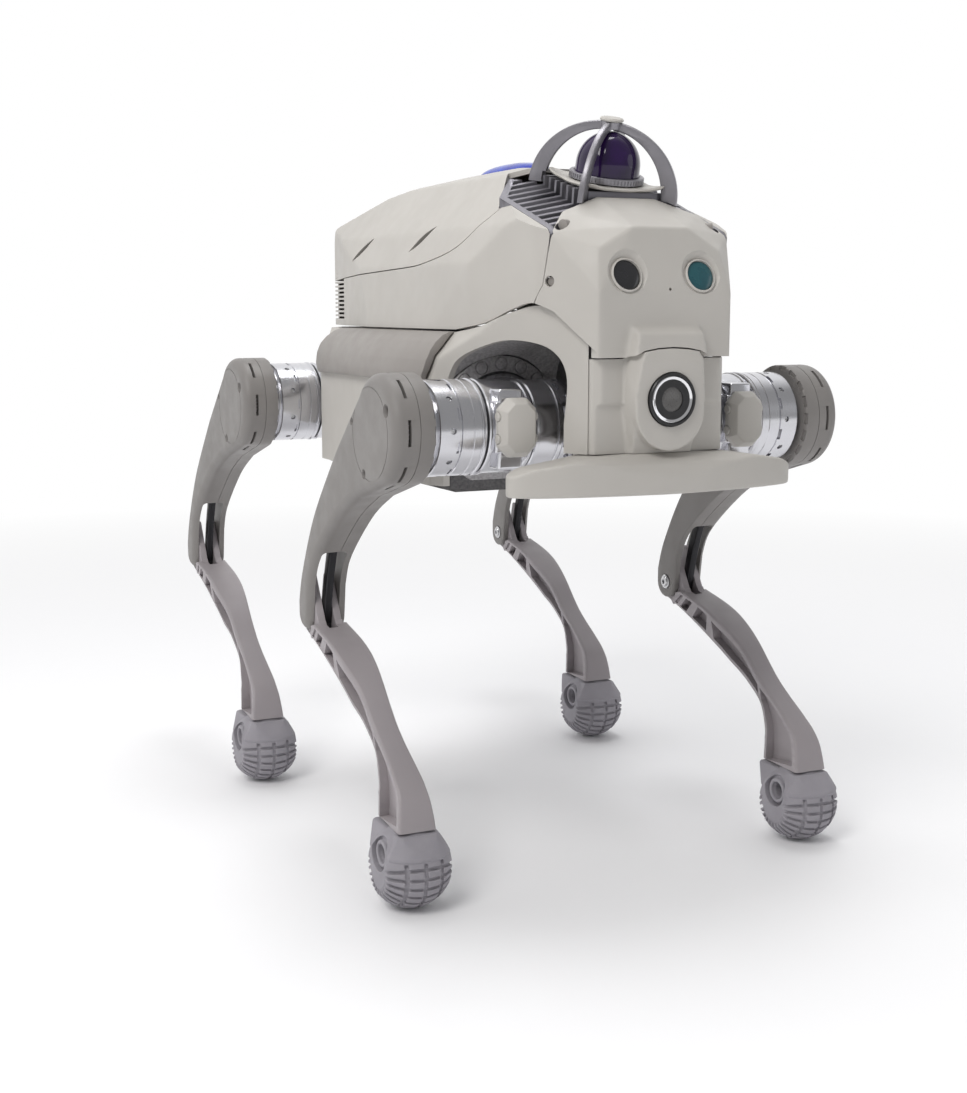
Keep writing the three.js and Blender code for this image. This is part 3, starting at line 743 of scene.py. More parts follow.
def shank():
    """Lower leg: a curved front plate, a rear rib with pockets, and a forked root."""
    rings = []
    for i in range(SHANK_STEPS + 1):
        front, rear, half = shank_station(i / SHANK_STEPS)
        way = Vector((rear[0] - front[0], rear[1] - front[1]))
        depth = way.length
        way.normalize()
        back = min(half - 1.5, 12.5)
        corner = 3.0
        section = [
            *arc((corner, -half + corner), corner, 270, 180, 4),
            *arc((corner, half - corner), corner, 180, 90, 4),
            *arc((depth - corner, back - corner), corner, 90, 0, 4),
            *arc((depth - corner, -back + corner), corner, 0, -90, 4),
        ]
        rings.append([(x, front[0] + way.x * d, front[1] + way.y * d) for d, x in section])
    body = upright(loft(rings))
    for low, high in SHANK_POCKETS:
        for side in (-1, 1):
            cut(body, shank_pocket(low, high, side))
    cut(body, bar("x", TIP + 2, -20, 20, KNEE))
    cheek = THIGH_HALF - THIGH_WALL - 0.5
    around = [
        along("x", *p, x)
        for centre, radius in ((KNEE, 13), (KNEE_LEVER, 7.5), (TONGUE, 4), ((158, -192), 2))
        for p in arc(centre, radius, 0, 360, 40)[1:]
        for x in (-cheek, cheek)
    ]
    root = [(150, -197), (158, -187), (176, -188), (190, -196), (178, -207)]
    swing = [(167.9, -203), (180, -200), (212, -147), (116, -130), (114, -173)]
    join(body, bar("x", 6, -14, 14, KNEE), bevelled(hull(around), 1, 2, 60), prism("x", root, -cheek, cheek))
    cut(body, prism("x", swing, -4.5, 4.5), bar("x", 9, -4.5, 4.5, KNEE_LEVER))
    join(body, bar("x", 3, -cheek, cheek, KNEE_LEVER, 32))
    return body


def shank_pocket(low, high, side):
    """One recess between the front plate and the rear rib; its ends slant as the ribs do."""
    steps, wall, web = 10, 5.5, 4.0
    front_edge, rear_edge = [], []
    for i in range(steps + 1):
        share = i / steps
        front, rear, _ = shank_station(low + (high - low) * share)
        shifted_front, shifted_rear, _ = shank_station(min(1, low + 0.035 + (high - low) * share))
        way = Vector((rear[0] - front[0], rear[1] - front[1])).normalized()
        front_edge.append((front[0] + way.x * (wall + 1.5), front[1] + way.y * (wall + 1.5)))
        back = Vector((shifted_rear[0] - shifted_front[0], shifted_rear[1] - shifted_front[1])).normalized()
        rear_edge.append((shifted_rear[0] - back.x * wall, shifted_rear[1] - back.y * wall))
    outline = [*front_edge, *reversed(rear_edge)]
    x0, x1 = (web, 22) if side > 0 else (-22, -web)
    return prism("x", outline, x0, x1)


FOOT_CENTRE = (-27, -360)
FOOT_RADIUS = 36


def foot():
    cy, cz = FOOT_CENTRE
    half = 29.0
    ball = lathe("x", [(-w, r) for w, r in arc((0, 0), FOOT_RADIUS, 0, 180, 48)], 96, FOOT_CENTRE)
    core = lathe("x", [(-w, r) for w, r in arc((0, 0), FOOT_RADIUS - 2.9, 0, 180, 32)], 64, FOOT_CENTRE)
    common(ball, bar("x", 60, -half, half, FOOT_CENTRE))
    tread = None
    for x in (-15.5, 0, 15.5):
        groove = bar("x", 44, x - 1.7, x + 1.7, FOOT_CENTRE, 64)
        tread = join(tread, groove) if tread else groove
    for turn in range(-190, 20, 14):
        plate = block((-40, 14, -1.5), (40, 44, 1.5))
        join(tread, moved(turned(plate, turn, "X"), 0, cy, cz))
    cut(tread, core)
    # The cap between the ankle and the tread is smooth.
    cut(tread, prism("x", [(-75, -350), (20, -344.5), (20, -300), (-75, -300)], -40, 40))
    cut(ball, tread)
    ankle = [(x, y, -329.2) for x, y in both_sides([(15, -47.5), (18, -45), (18, 11), (15, 13.5)])]
    brim = [
        (max(-27.5, min(27.5, x)), y, z)
        for z, radius in ((-344.6, 34.4), (-347.4, 35.2))
        for y, x in arc((cy, 0), radius, 0, 360, 48)[1:]
    ]
    cap = hull([*ankle, *brim])
    bevelled(cap, 1.4, 3, 40)
    join(ball, cap)
    hub = (cy - 1, cz + 13)
    for side in (-1, 1):
        x0, x1 = (22, 40) if side > 0 else (-40, -22)
        cut(ball, bar("x", 14.5, x0, x1, hub))
        ring = lathe("x", [(side * 20, 8), (side * 20, 11.5), (side * 25.4, 11.5), (side * 26.4, 10.6),
                           (side * 26.4, 8.8), (side * 25.4, 8)], 64, hub)
        join(ball, ring)
    cut(ball, bar("x", 7.5, -40, 40, hub))
    return softened(ball, 0.6, 2)


def hip_motor():
    profile = [
        (out(130.6), 0), (out(130.6), 36.5), (out(131.4), 38.2), (out(132), 39.6), (out(133.2), 40.6),
        (out(134.6), 40.6), (out(135.4), 39.4), (out(136.4), 39.4), (out(137), 40), (out(143.3), 40),
        (out(143.7), 39.5), (out(144.3), 39.5), (out(144.7), 40), (out(154.2), 40), (out(154.8), 38.9),
        (out(155.8), 38.9), (out(156.4), 40), (out(173.6), 40), (out(174.3), 39.3), (out(174.3), 36),
        (out(176.2), 36), (out(176.2), 34), (-THIGH_HALF - 0.5, 34), (-THIGH_HALF - 0.5, 0),
    ]
    body = lathe("x", profile, 128)
    for turn in range(10, 370, 40):
        cut(body, radial_tool(turn, out(162.5), 2.5, 36.6, 44))
    for turn in range(-10, 350, 40):
        slot = block((out(155.9), -5, 37.4), (out(158.6), 5, 44))
        cut(body, turned(slot, turn, "X"))
    return body


def radial_tool(turn, x, radius, low, high, steps=24):
    """A round bar standing out from the hip axis."""
    body = bar("z", radius, low, high, (x, 0), steps)
    return turned(body, turn, "X")


def barrel_screws():
    """Socket screws sunk in the hip barrel."""
    screws = None
    for turn in range(10, 370, 40):
        screw = knob("z", 2.1, 36.2, 38.6, (out(162.5), 0), 0.4, 20)
        cut(screw, bar("z", 1.1, 37.6, 40, (out(162.5), 0), 6))
        turned(screw, turn, "X")
        screws = join(screws, screw) if screws else screw
    return screws


def gap_ring():
    """Black seal between the two halves of the barrel."""
    return lathe("x", [(out(130.1), 30), (out(130.1), 38.4), (out(131.2), 38.4), (out(131.2), 30)], 96)


def hip_housing():
    profile = [
        (out(88.2), 0), (out(88.2), 37), (out(89), 38.4), (out(91.5), 38.4), (out(92.3), 37), (out(95), 37),
        (out(99), 39.2), (out(126), 39.2), (out(127), 40.2), (out(129), 40.2), (out(130), 39.2),
        (out(130), 0),
    ]
    body = lathe("x", profile, 128)
    centre = (0, out(ABDUCTION_X))
    join(body, lathe("y", [(30, 0), (30, 36), (37, 41), (43.2, 42), (44, 41.2), (44, 0)], 96, centre))
    join(body, bevelled(block((out(88.5), 18, -24), (out(114), 43, 24)), 3, 3))
    join(body, bevelled(block((out(96), -43.5, -19), (out(127), -18, 23)), 2, 3))
    join(body, bevelled(block((out(101), -41, -33), (out(123), -10, 33)), 2.5, 3))
    return body


def cover_ring(y, shrink, low=-22, high=26, half=17, corner=9):
    x = out(110.5)
    half, low, high = half - shrink, low + shrink, high - shrink
    outline = [
        (half, low + corner), (half, high - corner), (half - corner, high), (corner - half, high),
        (-half, high - corner), (-half, low + corner), (corner - half, low), (half - corner, low),
    ]
    return [(x + u, y, v) for u, v in outline]


def hip_cover():
    body = upright(loft([cover_ring(-44.6, 0), cover_ring(-50, 0), cover_ring(-57.6, 4.5, corner=7)]))
    bevelled(body, 0.9, 3, 20)
    for z in (-7, 11):
        for side in (-1, 1):
            x = out(110.5) + side * 17
            cut(body, bar("x", 4.4, x - 1.4, x + 1.4, (-47.8, z), 32))
    return body


def cover_screws():
    screws = None
    for z in (-7, 11):
        for side in (-1, 1):
            x = out(110.5) + side * 16.4
            screw = knob("x", 3.9, x - 1.3, x + 1.3, (-47.8, z), 0.5)
            screws = join(screws, screw) if screws else screw
    return screws


def knee_motor():
    """Inner barrel of the hip, with its ring of holes and slots."""
    profile = [
        (out(46), 0), (out(46), 33), (out(47.5), 37), (out(49.5), 38), (out(60.8), 38), (out(61.3), 37.2),
        (out(62.3), 37.2), (out(62.8), 38.6), (out(65.2), 38.6), (out(65.8), 37.4), (out(66.8), 37.4),
        (out(67.4), 38), (out(83), 38), (out(83.6), 38.8), (out(86.4), 38.8), (out(87.4), 37.6),
        (out(87.4), 0),
    ]
    body = lathe("x", profile, 128)
    for turn in range(10, 370, 40):
        cut(body, radial_tool(turn, out(54.5), 2.4, 35, 44))
    for turn in range(-10, 350, 40):
        slot = block((out(58), -4.5, 35.6), (out(60.4), 4.5, 44))
        cut(body, turned(slot, turn, "X"))
    return body


COLLAR = 57


def abduction_motor():
    """Drum in the trunk's end wall, with a flange facing the leg."""
    centre = (0, out(ABDUCTION_X))
    face = 44.5
    profile = [
        (face, 0), (face, 40), (face + 0.8, 41.5), (face + 0.2, 43), (face + 0.2, 49.2), (face + 1, 50),
        (face + 3, 50), (face + 3, 44), (face + 38, 44), (face + 38, 0),
    ]
    return lathe("y", profile, 96, centre)


def motor_collar():
    """Wide collar over that motor's flange, with big bolts, on the wall of the leg arch."""
    centre = (0, out(ABDUCTION_X))
    profile = [
        (42.5, 43.6), (42.5, COLLAR - 0.7), (43.2, COLLAR), (49, COLLAR), (49, 50.6), (44.4, 50.6),
        (44.4, 43.6),
    ]
    body = lathe("y", profile, 120, centre)
    common(body, block((out(25), 30, -50), (out(127), 60, 80)))
    for u, v in arc(centre, 50.2, -66, 44, 5):
        cut(body, bar("y", 6.1, 42, 43.9, (u, v), 32))
        join(body, knob("y", 5.1, 41.3, 44.2, (u, v), 0.5, 32))
    return body


def build_legs():
    """Makes every leg piece once and puts a copy on each leg."""
    on_legs(thigh(), "thigh_cover", THIGH_GREY, "upper_leg", ["thigh"])
    on_legs(knee_bolt(), "knee_bolt", STEEL, "upper_leg", [])
    on_legs(knee_crank(), "crank_arm", STEEL, "crank", ["knee_crank"])
    on_legs(knee_link(), "link_rod", LINK_BLACK, "link", ["knee_link"])
    on_legs(shank(), "shank_blade", SHANK_GREY, "lower_leg", ["shank"], angle=28)
    on_legs(foot(), "treaded_foot", RUBBER, "lower_leg", ["foot"], angle=60)
    on_legs(hip_motor(), "hip_barrel", SILVER, "hip", ["hip_motor"], hip=True)
    on_legs(barrel_screws(), "barrel_screws", STEEL, "hip", [], hip=True)
    on_legs(gap_ring(), "barrel_seal", LINK_BLACK, "hip", [], hip=True)
    on_legs(hip_housing(), "hip_casting", SILVER, "hip", ["hip_housing"], hip=True)
    on_legs(hip_cover(), "hip_guard", CREAM, "hip", ["hip_cover"], hip=True)
    on_legs(cover_screws(), "guard_screws", CREAM, "hip", [], hip=True)
    on_legs(knee_motor(), "knee_barrel", SILVER, "hip", ["knee_motor"], hip=True)
    flange, collar = abduction_motor(), motor_collar()
    for leg, side, end in LEGS:
        scale = Matrix.Diagonal((side, -end, 1, 1))
        matrix = Matrix.Translation((side * LEG_X, end * HIP_Y, HIP_Z)) @ scale
        node = f"{leg}_abduction_motor"
        place(copy(flange), f"{leg}_motor_flange", CHARCOAL, "trunk", matrix, [node])
        # The collar wears the paler charcoal, painted light against the shade in the arch.
        place(copy(collar), f"{leg}_motor_collar", CHARCOAL_PAINTED_LIGHTER, "trunk", matrix, [])
    bpy.data.objects.remove(flange)
    bpy.data.objects.remove(collar)


# ---------------------------------------------------------------- trunk outlines, side view
BELT = [(260, 474), (-137, 474), (-180, 480), (-212, 491), (-236, 496.5), (-256, 490), (-300, 450)]
SEAM = [(260, 520), (-20, 530), (-60, 533), (-120, 545), (-160, 568), (-190, 592), (-230, 640)]
HEAD_SEAM = [(-226, 700), (-226, 585), (-236, 571), (-253, 552.5), (-247, 512), (-238, 496), (-238, 400)]
NECK = [(0, -150), (42, -150), (60, -130), (88, -168), (84, -254), (0, -254)]
WALL = 3.5
TAIL_WALL = 42
SEAM_GAP = 0.5


def smooth_line(line, steps=40):
    """The same line with its inner corners rounded."""
    return [line[0], *curve(line[1:-1], steps), line[-1]]


def below(line, lift=0.0, width=300):
    edge = [(y, z + lift) for y, z in line]
    edge = [(400, edge[0][1]), *edge, (-400, edge[-1][1])]
    return prism("x", [*edge, (-400, 0), (400, 0)], -width, width)


def above(line, lift=0.0, width=300):
    edge = [(y, z + lift) for y, z in line]
    edge = [(400, edge[0][1]), *edge, (-400, edge[-1][1])]
    return prism("x", [*edge, (-400, 900), (400, 900)], -width, width)


def behind_head(gap=0.0):
    return prism("x", [*[(y + gap, z) for y, z in HEAD_SEAM], (300, 400), (300, 700)], -300, 300)


def neck_opening(grow=0.0):
    half = [(x + grow if x > 80 else x, y + grow if y > -200 else y) for x, y in NECK]
    return prism("z", both_sides(half), 480, 700)


def neck_form(depth=0.0):
    def top(x, y):
        return (x, y, 605 + 0.365 * (y + 130) - 0.2 * (x - 60) - depth)

    half, rear, front = 130, -100, -270
    corners = [top(0, rear), top(half, rear), top(0, front), top(half, front)]
    return hull(mirrored([*corners, (half, rear, 400), (half, front, 400)]))


def upper_form(depth=0.0):
    plan = both_sides(
        [
            (56 - depth, -300 + depth), (62 - depth, -293.5 + depth), (91.5 - depth, -240),
            (113 - depth, -160), (118 - depth, -100), (118 - depth, 60), (103 - depth, 165 - depth),
            (89 - depth, 232 - depth),
        ]
    )
    side = [
        (232 - depth, 440), (232 - depth, 562 - depth), (224 - depth, 578 - depth), (130, 603 - depth),
        (10, 616 - depth), (-80, 619 - depth), (-150, 613 - depth), (-226, 586 - depth), (-300, 540 - depth),
        (-300, 440),
    ]
    section = both_sides(
        [
            (119 - depth, 440), (118 - depth, 480), (113 - depth, 531), (100 - depth, 562 - depth),
            (64 - depth, 608 - depth), (30 - depth, 618 - depth), (0, 620 - depth),
        ]
    )
    body = prism("z", plan, 440, 640)
    return common(body, prism("x", side, -200, 200), prism("y", swapped(section), -310, 260))


def side_shell(form):
    space = join(neck_form(WALL), block((-300, WALL - 168, 400), (300, 300, 700)))
    roof = join(neck_form(0), block((-300, -168, 400), (300, 300, 700)))
    body = common(copy(form), above(BELT_SMOOTH, SEAM_GAP + 0.8), below(SEAM_SMOOTH, -SEAM_GAP))
    common(body, behind_head(SEAM_GAP), roof)
    cut(body, common(upper_form(WALL), space), neck_opening(SEAM_GAP))
    for side in (-1, 1):
        for i in range(11):
            z = 482 + 4.3 * i
            slot = prism("z", [(84, 240), (105, 240), (105, 168), (94.5, 168)], z, z + 2.3)
            cut(body, slot if side > 0 else flipped(slot, "X"))
    return body


def rear_cover(form):
    body = common(copy(form), above(SEAM_SMOOTH, SEAM_GAP), behind_head(SEAM_GAP))
    cut(body, upper_form(WALL), neck_opening(SEAM_GAP), block((-200, -300, 400), (200, -170, 700)))
    for y, z in ((107, 550), (-37, 555.5)):
        for side in (-1, 1):
            lens = [*arc((94.5, 0), 97.5, 165.75, 194.25, 12), *arc((-94.5, 0), 97.5, -14.25, 14.25, 12)]
            slot = prism("x", lens, 90, 125)
            slot = turned(slot, 62, "X")
            moved(slot, 0, y, z)
            cut(body, slot if side > 0 else flipped(slot, "X"))
    return body


def head_form(depth=0.0):
    face_y = -293.5 + depth
    points = [
        (61.8, face_y, 440), (61.8, face_y, 506), (56.5, -282.4 + depth, 540.2 - depth),
        (25, -282.7 + depth, 558 - depth), (27, -226, 585 - depth), (65, -236, 571.5 - depth),
        (85.5, -250, 554 - depth), (91, -242, 505), (91, -240, 440), (85, -220, 554 - depth),
        (91, -220, 440),
    ]
    return hull(mirrored([(x - depth, y, z) for x, y, z in points]))


def muzzle():
    return hull(
        mirrored([(37.5, -288, 441), (32.5, -288, 484), (36, -306.5, 441), (30.5, -303.6, 473)])
    )


def lip_line(lift=0.0):
    half = [(0, 462.6), (14, 461.8), (26, 459.8), (33, 456.4), (37, 454.2), (140, 453.6)]
    right = [(z + lift, x) for x, z in half]
    return [*reversed([(z, -x) for z, x in right if x]), *right, (300, 140), (300, -140)]


EYE = {"x": 34.6, "y": -289, "z": 519.6, "lean": 18}


def at_eye(body, side):
    turned(body, -EYE["lean"], "X")
    return moved(body, side * EYE["x"], EYE["y"], EYE["z"])


def head_shell():
    body = join(head_form(), muzzle())
    softened(body, 1.6, 7)
    cut(body, prism("y", lip_line(0.4), -330, -255))
    common(body, join(above(BELT_SMOOTH, SEAM_GAP + 0.8), block((-62.6, -320, 440), (62.6, -262, 600))))
    cut(body, head_form(WALL), behind_head(-SEAM_GAP))
    for side in (-1, 1):
        ring = bar("y", 17, -1.5, 9)
        cut(ring, bar("y", 13.2, -3, 12))
        join(body, common(at_eye(ring, side), head_form(0.8)))
        dish = lathe("y", [(-12, 0), (-12, 27), (-1.6, 18.4), (0.8, 14.8), (0.8, 0)], 64)
        cut(body, at_eye(dish, side))
        cut(body, at_eye(bar("y", 14.3, -20, 6.6, steps=64), side))
        screw_1 = moved(turned(bar("x", 4.6, -9, 30, steps=40), -30, "Z"), 79, -254, 560)
        screw_2 = moved(turned(bar("x", 4.4, -4, 30, steps=40), -30, "Z"), 85, -253, 515)
        for tool in (screw_1, screw_2):
            cut(body, tool if side > 0 else flipped(tool, "X"))
    cut(body, bar("y", 1.3, -300, -280, (508.6, 4), 20))
    return body


def head_screws():
    screws = None
    for side in (-1, 1):
        one = moved(turned(knob("x", 4.3, -15, -8.5), -30, "Z"), 79, -254, 560)
        two = moved(turned(knob("x", 4.1, -8, -3.6), -30, "Z"), 85, -253, 515)
        for tool in (one, two):
            piece = tool if side > 0 else flipped(tool, "X")
            screws = join(screws, piece) if screws else piece
    return screws


def eye_bezel(side):
    ring = lathe("y", [(-1.5, 12.7), (-1.5, 13.4), (-0.6, 14.1), (5.5, 14.1), (5.5, 12.7)], 64)
    return at_eye(ring, side)


def eye_lens(side):
    turns = map(math.radians, range(0, 91, 10))
    profile = [(0.9 - 1.7 * math.cos(turn), 12.5 * math.sin(turn)) for turn in turns]
    return at_eye(lathe("y", [*profile, (5.5, 12.5), (5.5, 0)], 64), side)


NOSE_Z = 421
NOSE_RADIUS = 21.7


def jaw_shell():
    """Lower face, with the boss and the recess around the nose camera."""
    plan = both_sides([(0, -288.4), (56, -288.4), (62.2, -283), (62.7, -278), (62.7, -262)])
    body = prism("z", plan, 372, 480)
    # The upper corner blocks stand over a recess that runs down to the bumper.
    for side in (-1, 1):
        recess = hull([(side * x, y, z) for x, y, z in (
            (30, -285.2, 370), (70, -285.2, 370), (30, -300, 370), (70, -300, 370),
            (30, -285.2, 416), (70, -285.2, 416), (30, -300, 424), (70, -300, 424))])
        cut(body, recess)
    snout = hull(
        mirrored([(27, -284, 374), (27, -290, 374), (33, -284, 400), (33, -292, 420), (36, -284, 421),
                  (33, -303, 421), (29, -306.2, 452), (22, -304, 466), (36, -284, 452), (30, -284, 468)])
    )
    disc = bar("y", 32.5, -303.5, -284, (412, 0), 96)
    join(body, snout, disc)
    softened(body, 1.3, 4)
    cut(body, block((-80, -330, 360), (80, -230, 377.2)))
    common(body, prism("y", lip_line(-0.8), -330, -200))
    cut(body, block((-58, -282.4, 360), (58, -240, 500)))
    cut(body, bar("y", NOSE_RADIUS + 0.6, -330, -296, (NOSE_Z, 0), 96))
    cut(body, bar("y", 12, -330, -270, (NOSE_Z, 0)))
    return body


def nose_camera():
    y = -306.8
    pieces = {
        "nose_outer_ring": (BLACK, [(y + 8, 10), (y + 8, 21.7), (y + 0.8, 21.7), (y, 20.9), (y, 19.6),
                                    (y + 1.4, 19), (y + 1.4, 10)]),
        "nose_bright_ring": (MIRROR, [(y + 4, 14), (y + 4, 18.9), (y + 0.9, 18.9), (y + 0.5, 18.2),
                                      (y + 1.8, 15.4), (y + 2.2, 14)]),
        "nose_inner_ring": (BLACK, [(y + 5, 11), (y + 5, 15.2), (y + 1.5, 15.2), (y + 1.5, 13.4),
                                    (y + 2.4, 12.6), (y + 2.4, 11)]),
        "nose_window": (CAMERA_GLASS, [(y + 2.9, 0), (y + 2.6, 4), (y + 2.4, 8), (y + 2.7, 12.5),
                                       (y + 6, 12.5), (y + 6, 11), (y + 30, 11), (y + 30, 0)]),
    }
    for name, (material, profile) in pieces.items():
        nodes = ["nose_camera"] if name == "nose_outer_ring" else []
        body = lathe("y", profile, 96, (NOSE_Z, 0))
        place(body, name, material, "trunk", None, nodes)


def bumper():
    """Bowed bar under the jaw, with a neck that reaches back below it."""
    bow = curve(
        [(122, -263), (130, -267), (134, -276), (130, -286), (112, -295), (70, -305.5), (0, -313),
         (-70, -305.5), (-112, -295), (-130, -286), (-134, -276), (-130, -267), (-122, -263)], 80)
    neck = [(-60, -262), (-60, -247), (60, -247), (60, -262)]
    section = both_sides([(140, 345), (134, 362), (118, 368), (64, 376), (0, 377.6)])
    # The top rises from the front edge back to the foot of the jaw.
    slope = [(-330, 345), (-314, 360), (-307, 370), (-292, 377), (-240, 378.4), (-240, 345)]
    body = prism("z", [*bow, *neck], 345, 380)
    common(body, prism("y", swapped(section), -320, -240), prism("x", slope, -200, 200))
    softened(body, 1.6, 8)
    return cut(body, block((-116, -279, 330), (116, -240, 366)), block((-200, -330, 376.8), (200, -240, 400)))


def lower_form(depth=0.0):
    """Outer form of the lower shell, shrunk all round by a depth."""
    plan = both_sides(
        [(76 - depth, 238 - depth), (130 - depth, 150 - depth), (140 - depth, 138 - depth),
         (140 - depth, -138 + depth), (130 - depth, -152 + depth), (50 - depth, -305 + depth)]
    )
    section = both_sides(
        [(140 - depth, 321), (140 - depth, 430), (134 - depth, 452), (112 - depth, 476 - depth),
         (90 - depth, 510 - depth)]
    )
    return common(prism("z", plan, 331, 520), prism("y", swapped(section), -300, 260))


def arch_opening(grow=0.0):
    """Opening round a front pair of hips, in side view."""
    top = [(-149 + grow, 420), (-160 + grow, 448 + grow), (-186, 462 + grow), (-214, 467.5 + grow),
           (-246, 461 + grow), (-261 - grow, 440), (-259 - grow, 400)]
    return prism("x", [*curve(top, 40), (-259 - grow, 300), (-149 + grow, 300)], -200, 200)


def lower_shell():
    """Cream shell below the belt line, open over the four hips."""
    form = lower_form()
    softened(form, 2.0, 6)
    body = common(form, below(BELT_SMOOTH, -SEAM_GAP - 0.4), block((-300, -300, 341.2), (300, 300, 600)))
    cut(body, lower_form(WALL), block((-60, -300, 300), (60, 0, 600)))
    # The shell's end wall stays between the rear arches, behind the tail beam.
    rear_arch = cut(flipped(arch_opening(), "Y"), block((-TAIL_WALL, 200, 300), (TAIL_WALL, 300, 600)))
    cut(body, arch_opening(), rear_arch)
    cut(body, block((-63.3, -320, 300), (63.3, -255, 600)), block((-300, -320, 300), (300, -282, 600)))
    return cut(body, block((-300, -320, 300), (300, -246, 376.8)))


def wheel_arch_liner(end):
    """Dark ceiling over a pair of hips, between the arches and the deck."""
    low, high = (-256, -150.5) if end < 0 else (150.5, 229)
    arch = arch_opening(1.0) if end < 0 else flipped(arch_opening(1.0), "Y")
    body = common(block((-128, low, 420), (128, high, 500)), below(BELT_SMOOTH, -4), lower_form(WALL + 0.6))
    pockets = [
        bar("y", COLLAR + 1, min(end * 149, end * 172), max(end * 149, end * 172), (HIP_Z, x), 96)
        for x in (-ABDUCTION_X, ABDUCTION_X)
    ]
    return cut(body, arch, *pockets)


def flap(side):
    """Curved taupe flap over one shoulder of the lower shell."""
    section = [
        (115.8, 474.2), (121, 473), (127, 470.5), (134, 465), (139.5, 458), (143.5, 449), (146, 438),
        (146, 430.4), (145.2, 429.2), (142, 429.2), (141, 430.4), (140.8, 437), (135.2, 453.5),
        (119.4, 470.6), (115.6, 473),
    ]
    slant = curve([(-134, 480), (-137.5, 468), (-139, 455), (-136, 440), (-129, 428.5)], 12)
    slant += curve([(129, 428.5), (136, 440), (139, 455), (134, 468), (126, 480)], 12)
    body = prism("y", [(z, x) for x, z in section], -140, 140)
    common(body, prism("x", slant, -200, 200), below(BELT, -SEAM_GAP))
    bevelled(body, 0.7, 2, 50)
    return body if side > 0 else flipped(body, "X")


def trunk_frame():
    """Charcoal chassis tub with its belly pan, motor bores and neck and tail beams."""
    half, wall, end = 130, 5, 148.5
    body = join(block((-half, -end, 338), (half, end, 462)), block((-24, -245, 352), (24, 228, 462)))
    common(body, lower_form(WALL + 1))
    pan = prism("y", swapped(both_sides([(112, 333), (138, 341)])), -130, 130)
    join(body, common(pan, block((-300, -200, 300), (300, 200, 340.5))))
    cut(body, block((wall - half, wall - end, 347), (half - wall, end - wall, 463)),
        block((-18, -239, 358), (18, 222, 463)))
    for side in (-1, 1):
        for y in (-end - 3, end - 8):
            cut(body, bar("y", 44.8, y, y + 11, (HIP_Z, side * ABDUCTION_X), 96))
    # Panel lines, feet and vents of the belly.
    for y in (-96, 0, 96):
        cut(body, block((-104, y - 0.7, 330), (104, y + 0.7, 333.9)))
    for x in (-88, 88):
        for y in (-112, 112):
            cut(body, bar("z", 4, 330, 336, (x, y), 24))
    for i in range(8):
        cut(body, block((-52, 20 + 7 * i, 330), (52, 23 + 7 * i, 335)))
    bevelled(body, 0.6, 1, 50)
    return body


def heat_sink():
    """Fins that step up to the block under the lidar, inside a rim."""
    skin = join(neck_form(0), pedestal_form())
    common(skin, neck_opening(), behind_head(SEAM_GAP), under_lidar(7.2))
    room = [(34, -223, 500), (34, -166, 500), (33, -223, 592), (33, -166, 610)]
    core = join(neck_form(9), hull(mirrored(room)))
    fins = None
    for i in range(10):
        y = -243 + 10.4 * i
        fin = block((-100, y, 420), (100, y + 3.4, 640))
        fins = join(fins, fin) if fins else fin
    frame_line = [
        (88, -168), (84, -254), (78.5, -254), (82, -171), (60, -139), (40, -139), (40, -150), (60, -130),
    ]
    for side in (-1, 1):
        join(fins, prism("z", [(side * x, y) for x, y in frame_line], 420, 640))
    body = common(skin, join(core, fins))
    cut(body, neck_form(30))
    return bevelled(body, 0.45, 2, 50)


def pedestal_form():
    return hull(
        mirrored([(42, -224, 560), (42, -152, 560), (40, -224, 592), (40, -152, 611)])
    )


LIDAR_Y, LIDAR_Z, LIDAR_TILT = -191, 590, 15


def lidar_matrix():
    lean = Matrix.Rotation(math.radians(LIDAR_TILT), 4, "X")
    return Matrix.Translation((0, LIDAR_Y, LIDAR_Z)) @ lean


def under_lidar(height):
    body = block((-300, -300, -300), (300, 300, height))
    body.data.transform(lidar_matrix())
    return body


def lidar_plate():
    """Pale four-pointed plate whose points curve up to the guard's straps."""
    steps = 96
    rings = []
    for low, shares in ((True, (0.02, 0.6, 0.75, 0.88, 0.97)), (False, (1.0, 0.97, 0.88, 0.75, 0.6, 0.02))):
        for share in shares:
            ring = []
            for i in range(steps):
                turn = 2 * math.pi * i / steps
                reach = share * (37.5 + 14 * abs(math.sin(2 * turn)) ** 7)
                rise = max(0.0, reach - 34) ** 2 * 0.014
                height = 0 if low else (1.3 if share == 1.0 else 2.6)
                ring.append((reach * math.cos(turn), reach * math.sin(turn), 8.4 + rise + height))
            rings.append(ring)
    return upright(loft(rings))


def lidar_ring():
    """Base ring of the lidar, with a knurled rim."""
    profile = [
        (11.2, 0), (11.2, 29.6), (11.8, 31), (12.3, 32), (16.8, 32), (17.4, 31.4), (17.4, 28.6),
        (16.8, 28), (16.8, 0),
    ]
    body = lathe("z", profile, 128)
    for i in range(64):
        groove = block((31.4, -0.45, 12.8), (34, 0.45, 16.4))
        cut(body, turned(groove, 5.625 * i, "Z"))
    return body


def lidar_dome():
    """Window of the lidar: a short drum with a rounded top."""
    profile = [(17, 0), (17, 27.6), (24, 27.4)]
    for turn in map(math.radians, range(6, 91, 6)):
        profile.append((24 + 28 * math.sin(turn), 27.4 * math.cos(turn)))
    return lathe("z", profile, 96)


CAGE = {"radius": 66, "height": 60, "width": 14, "thick": 4.6, "foot": -13, "back": 4}


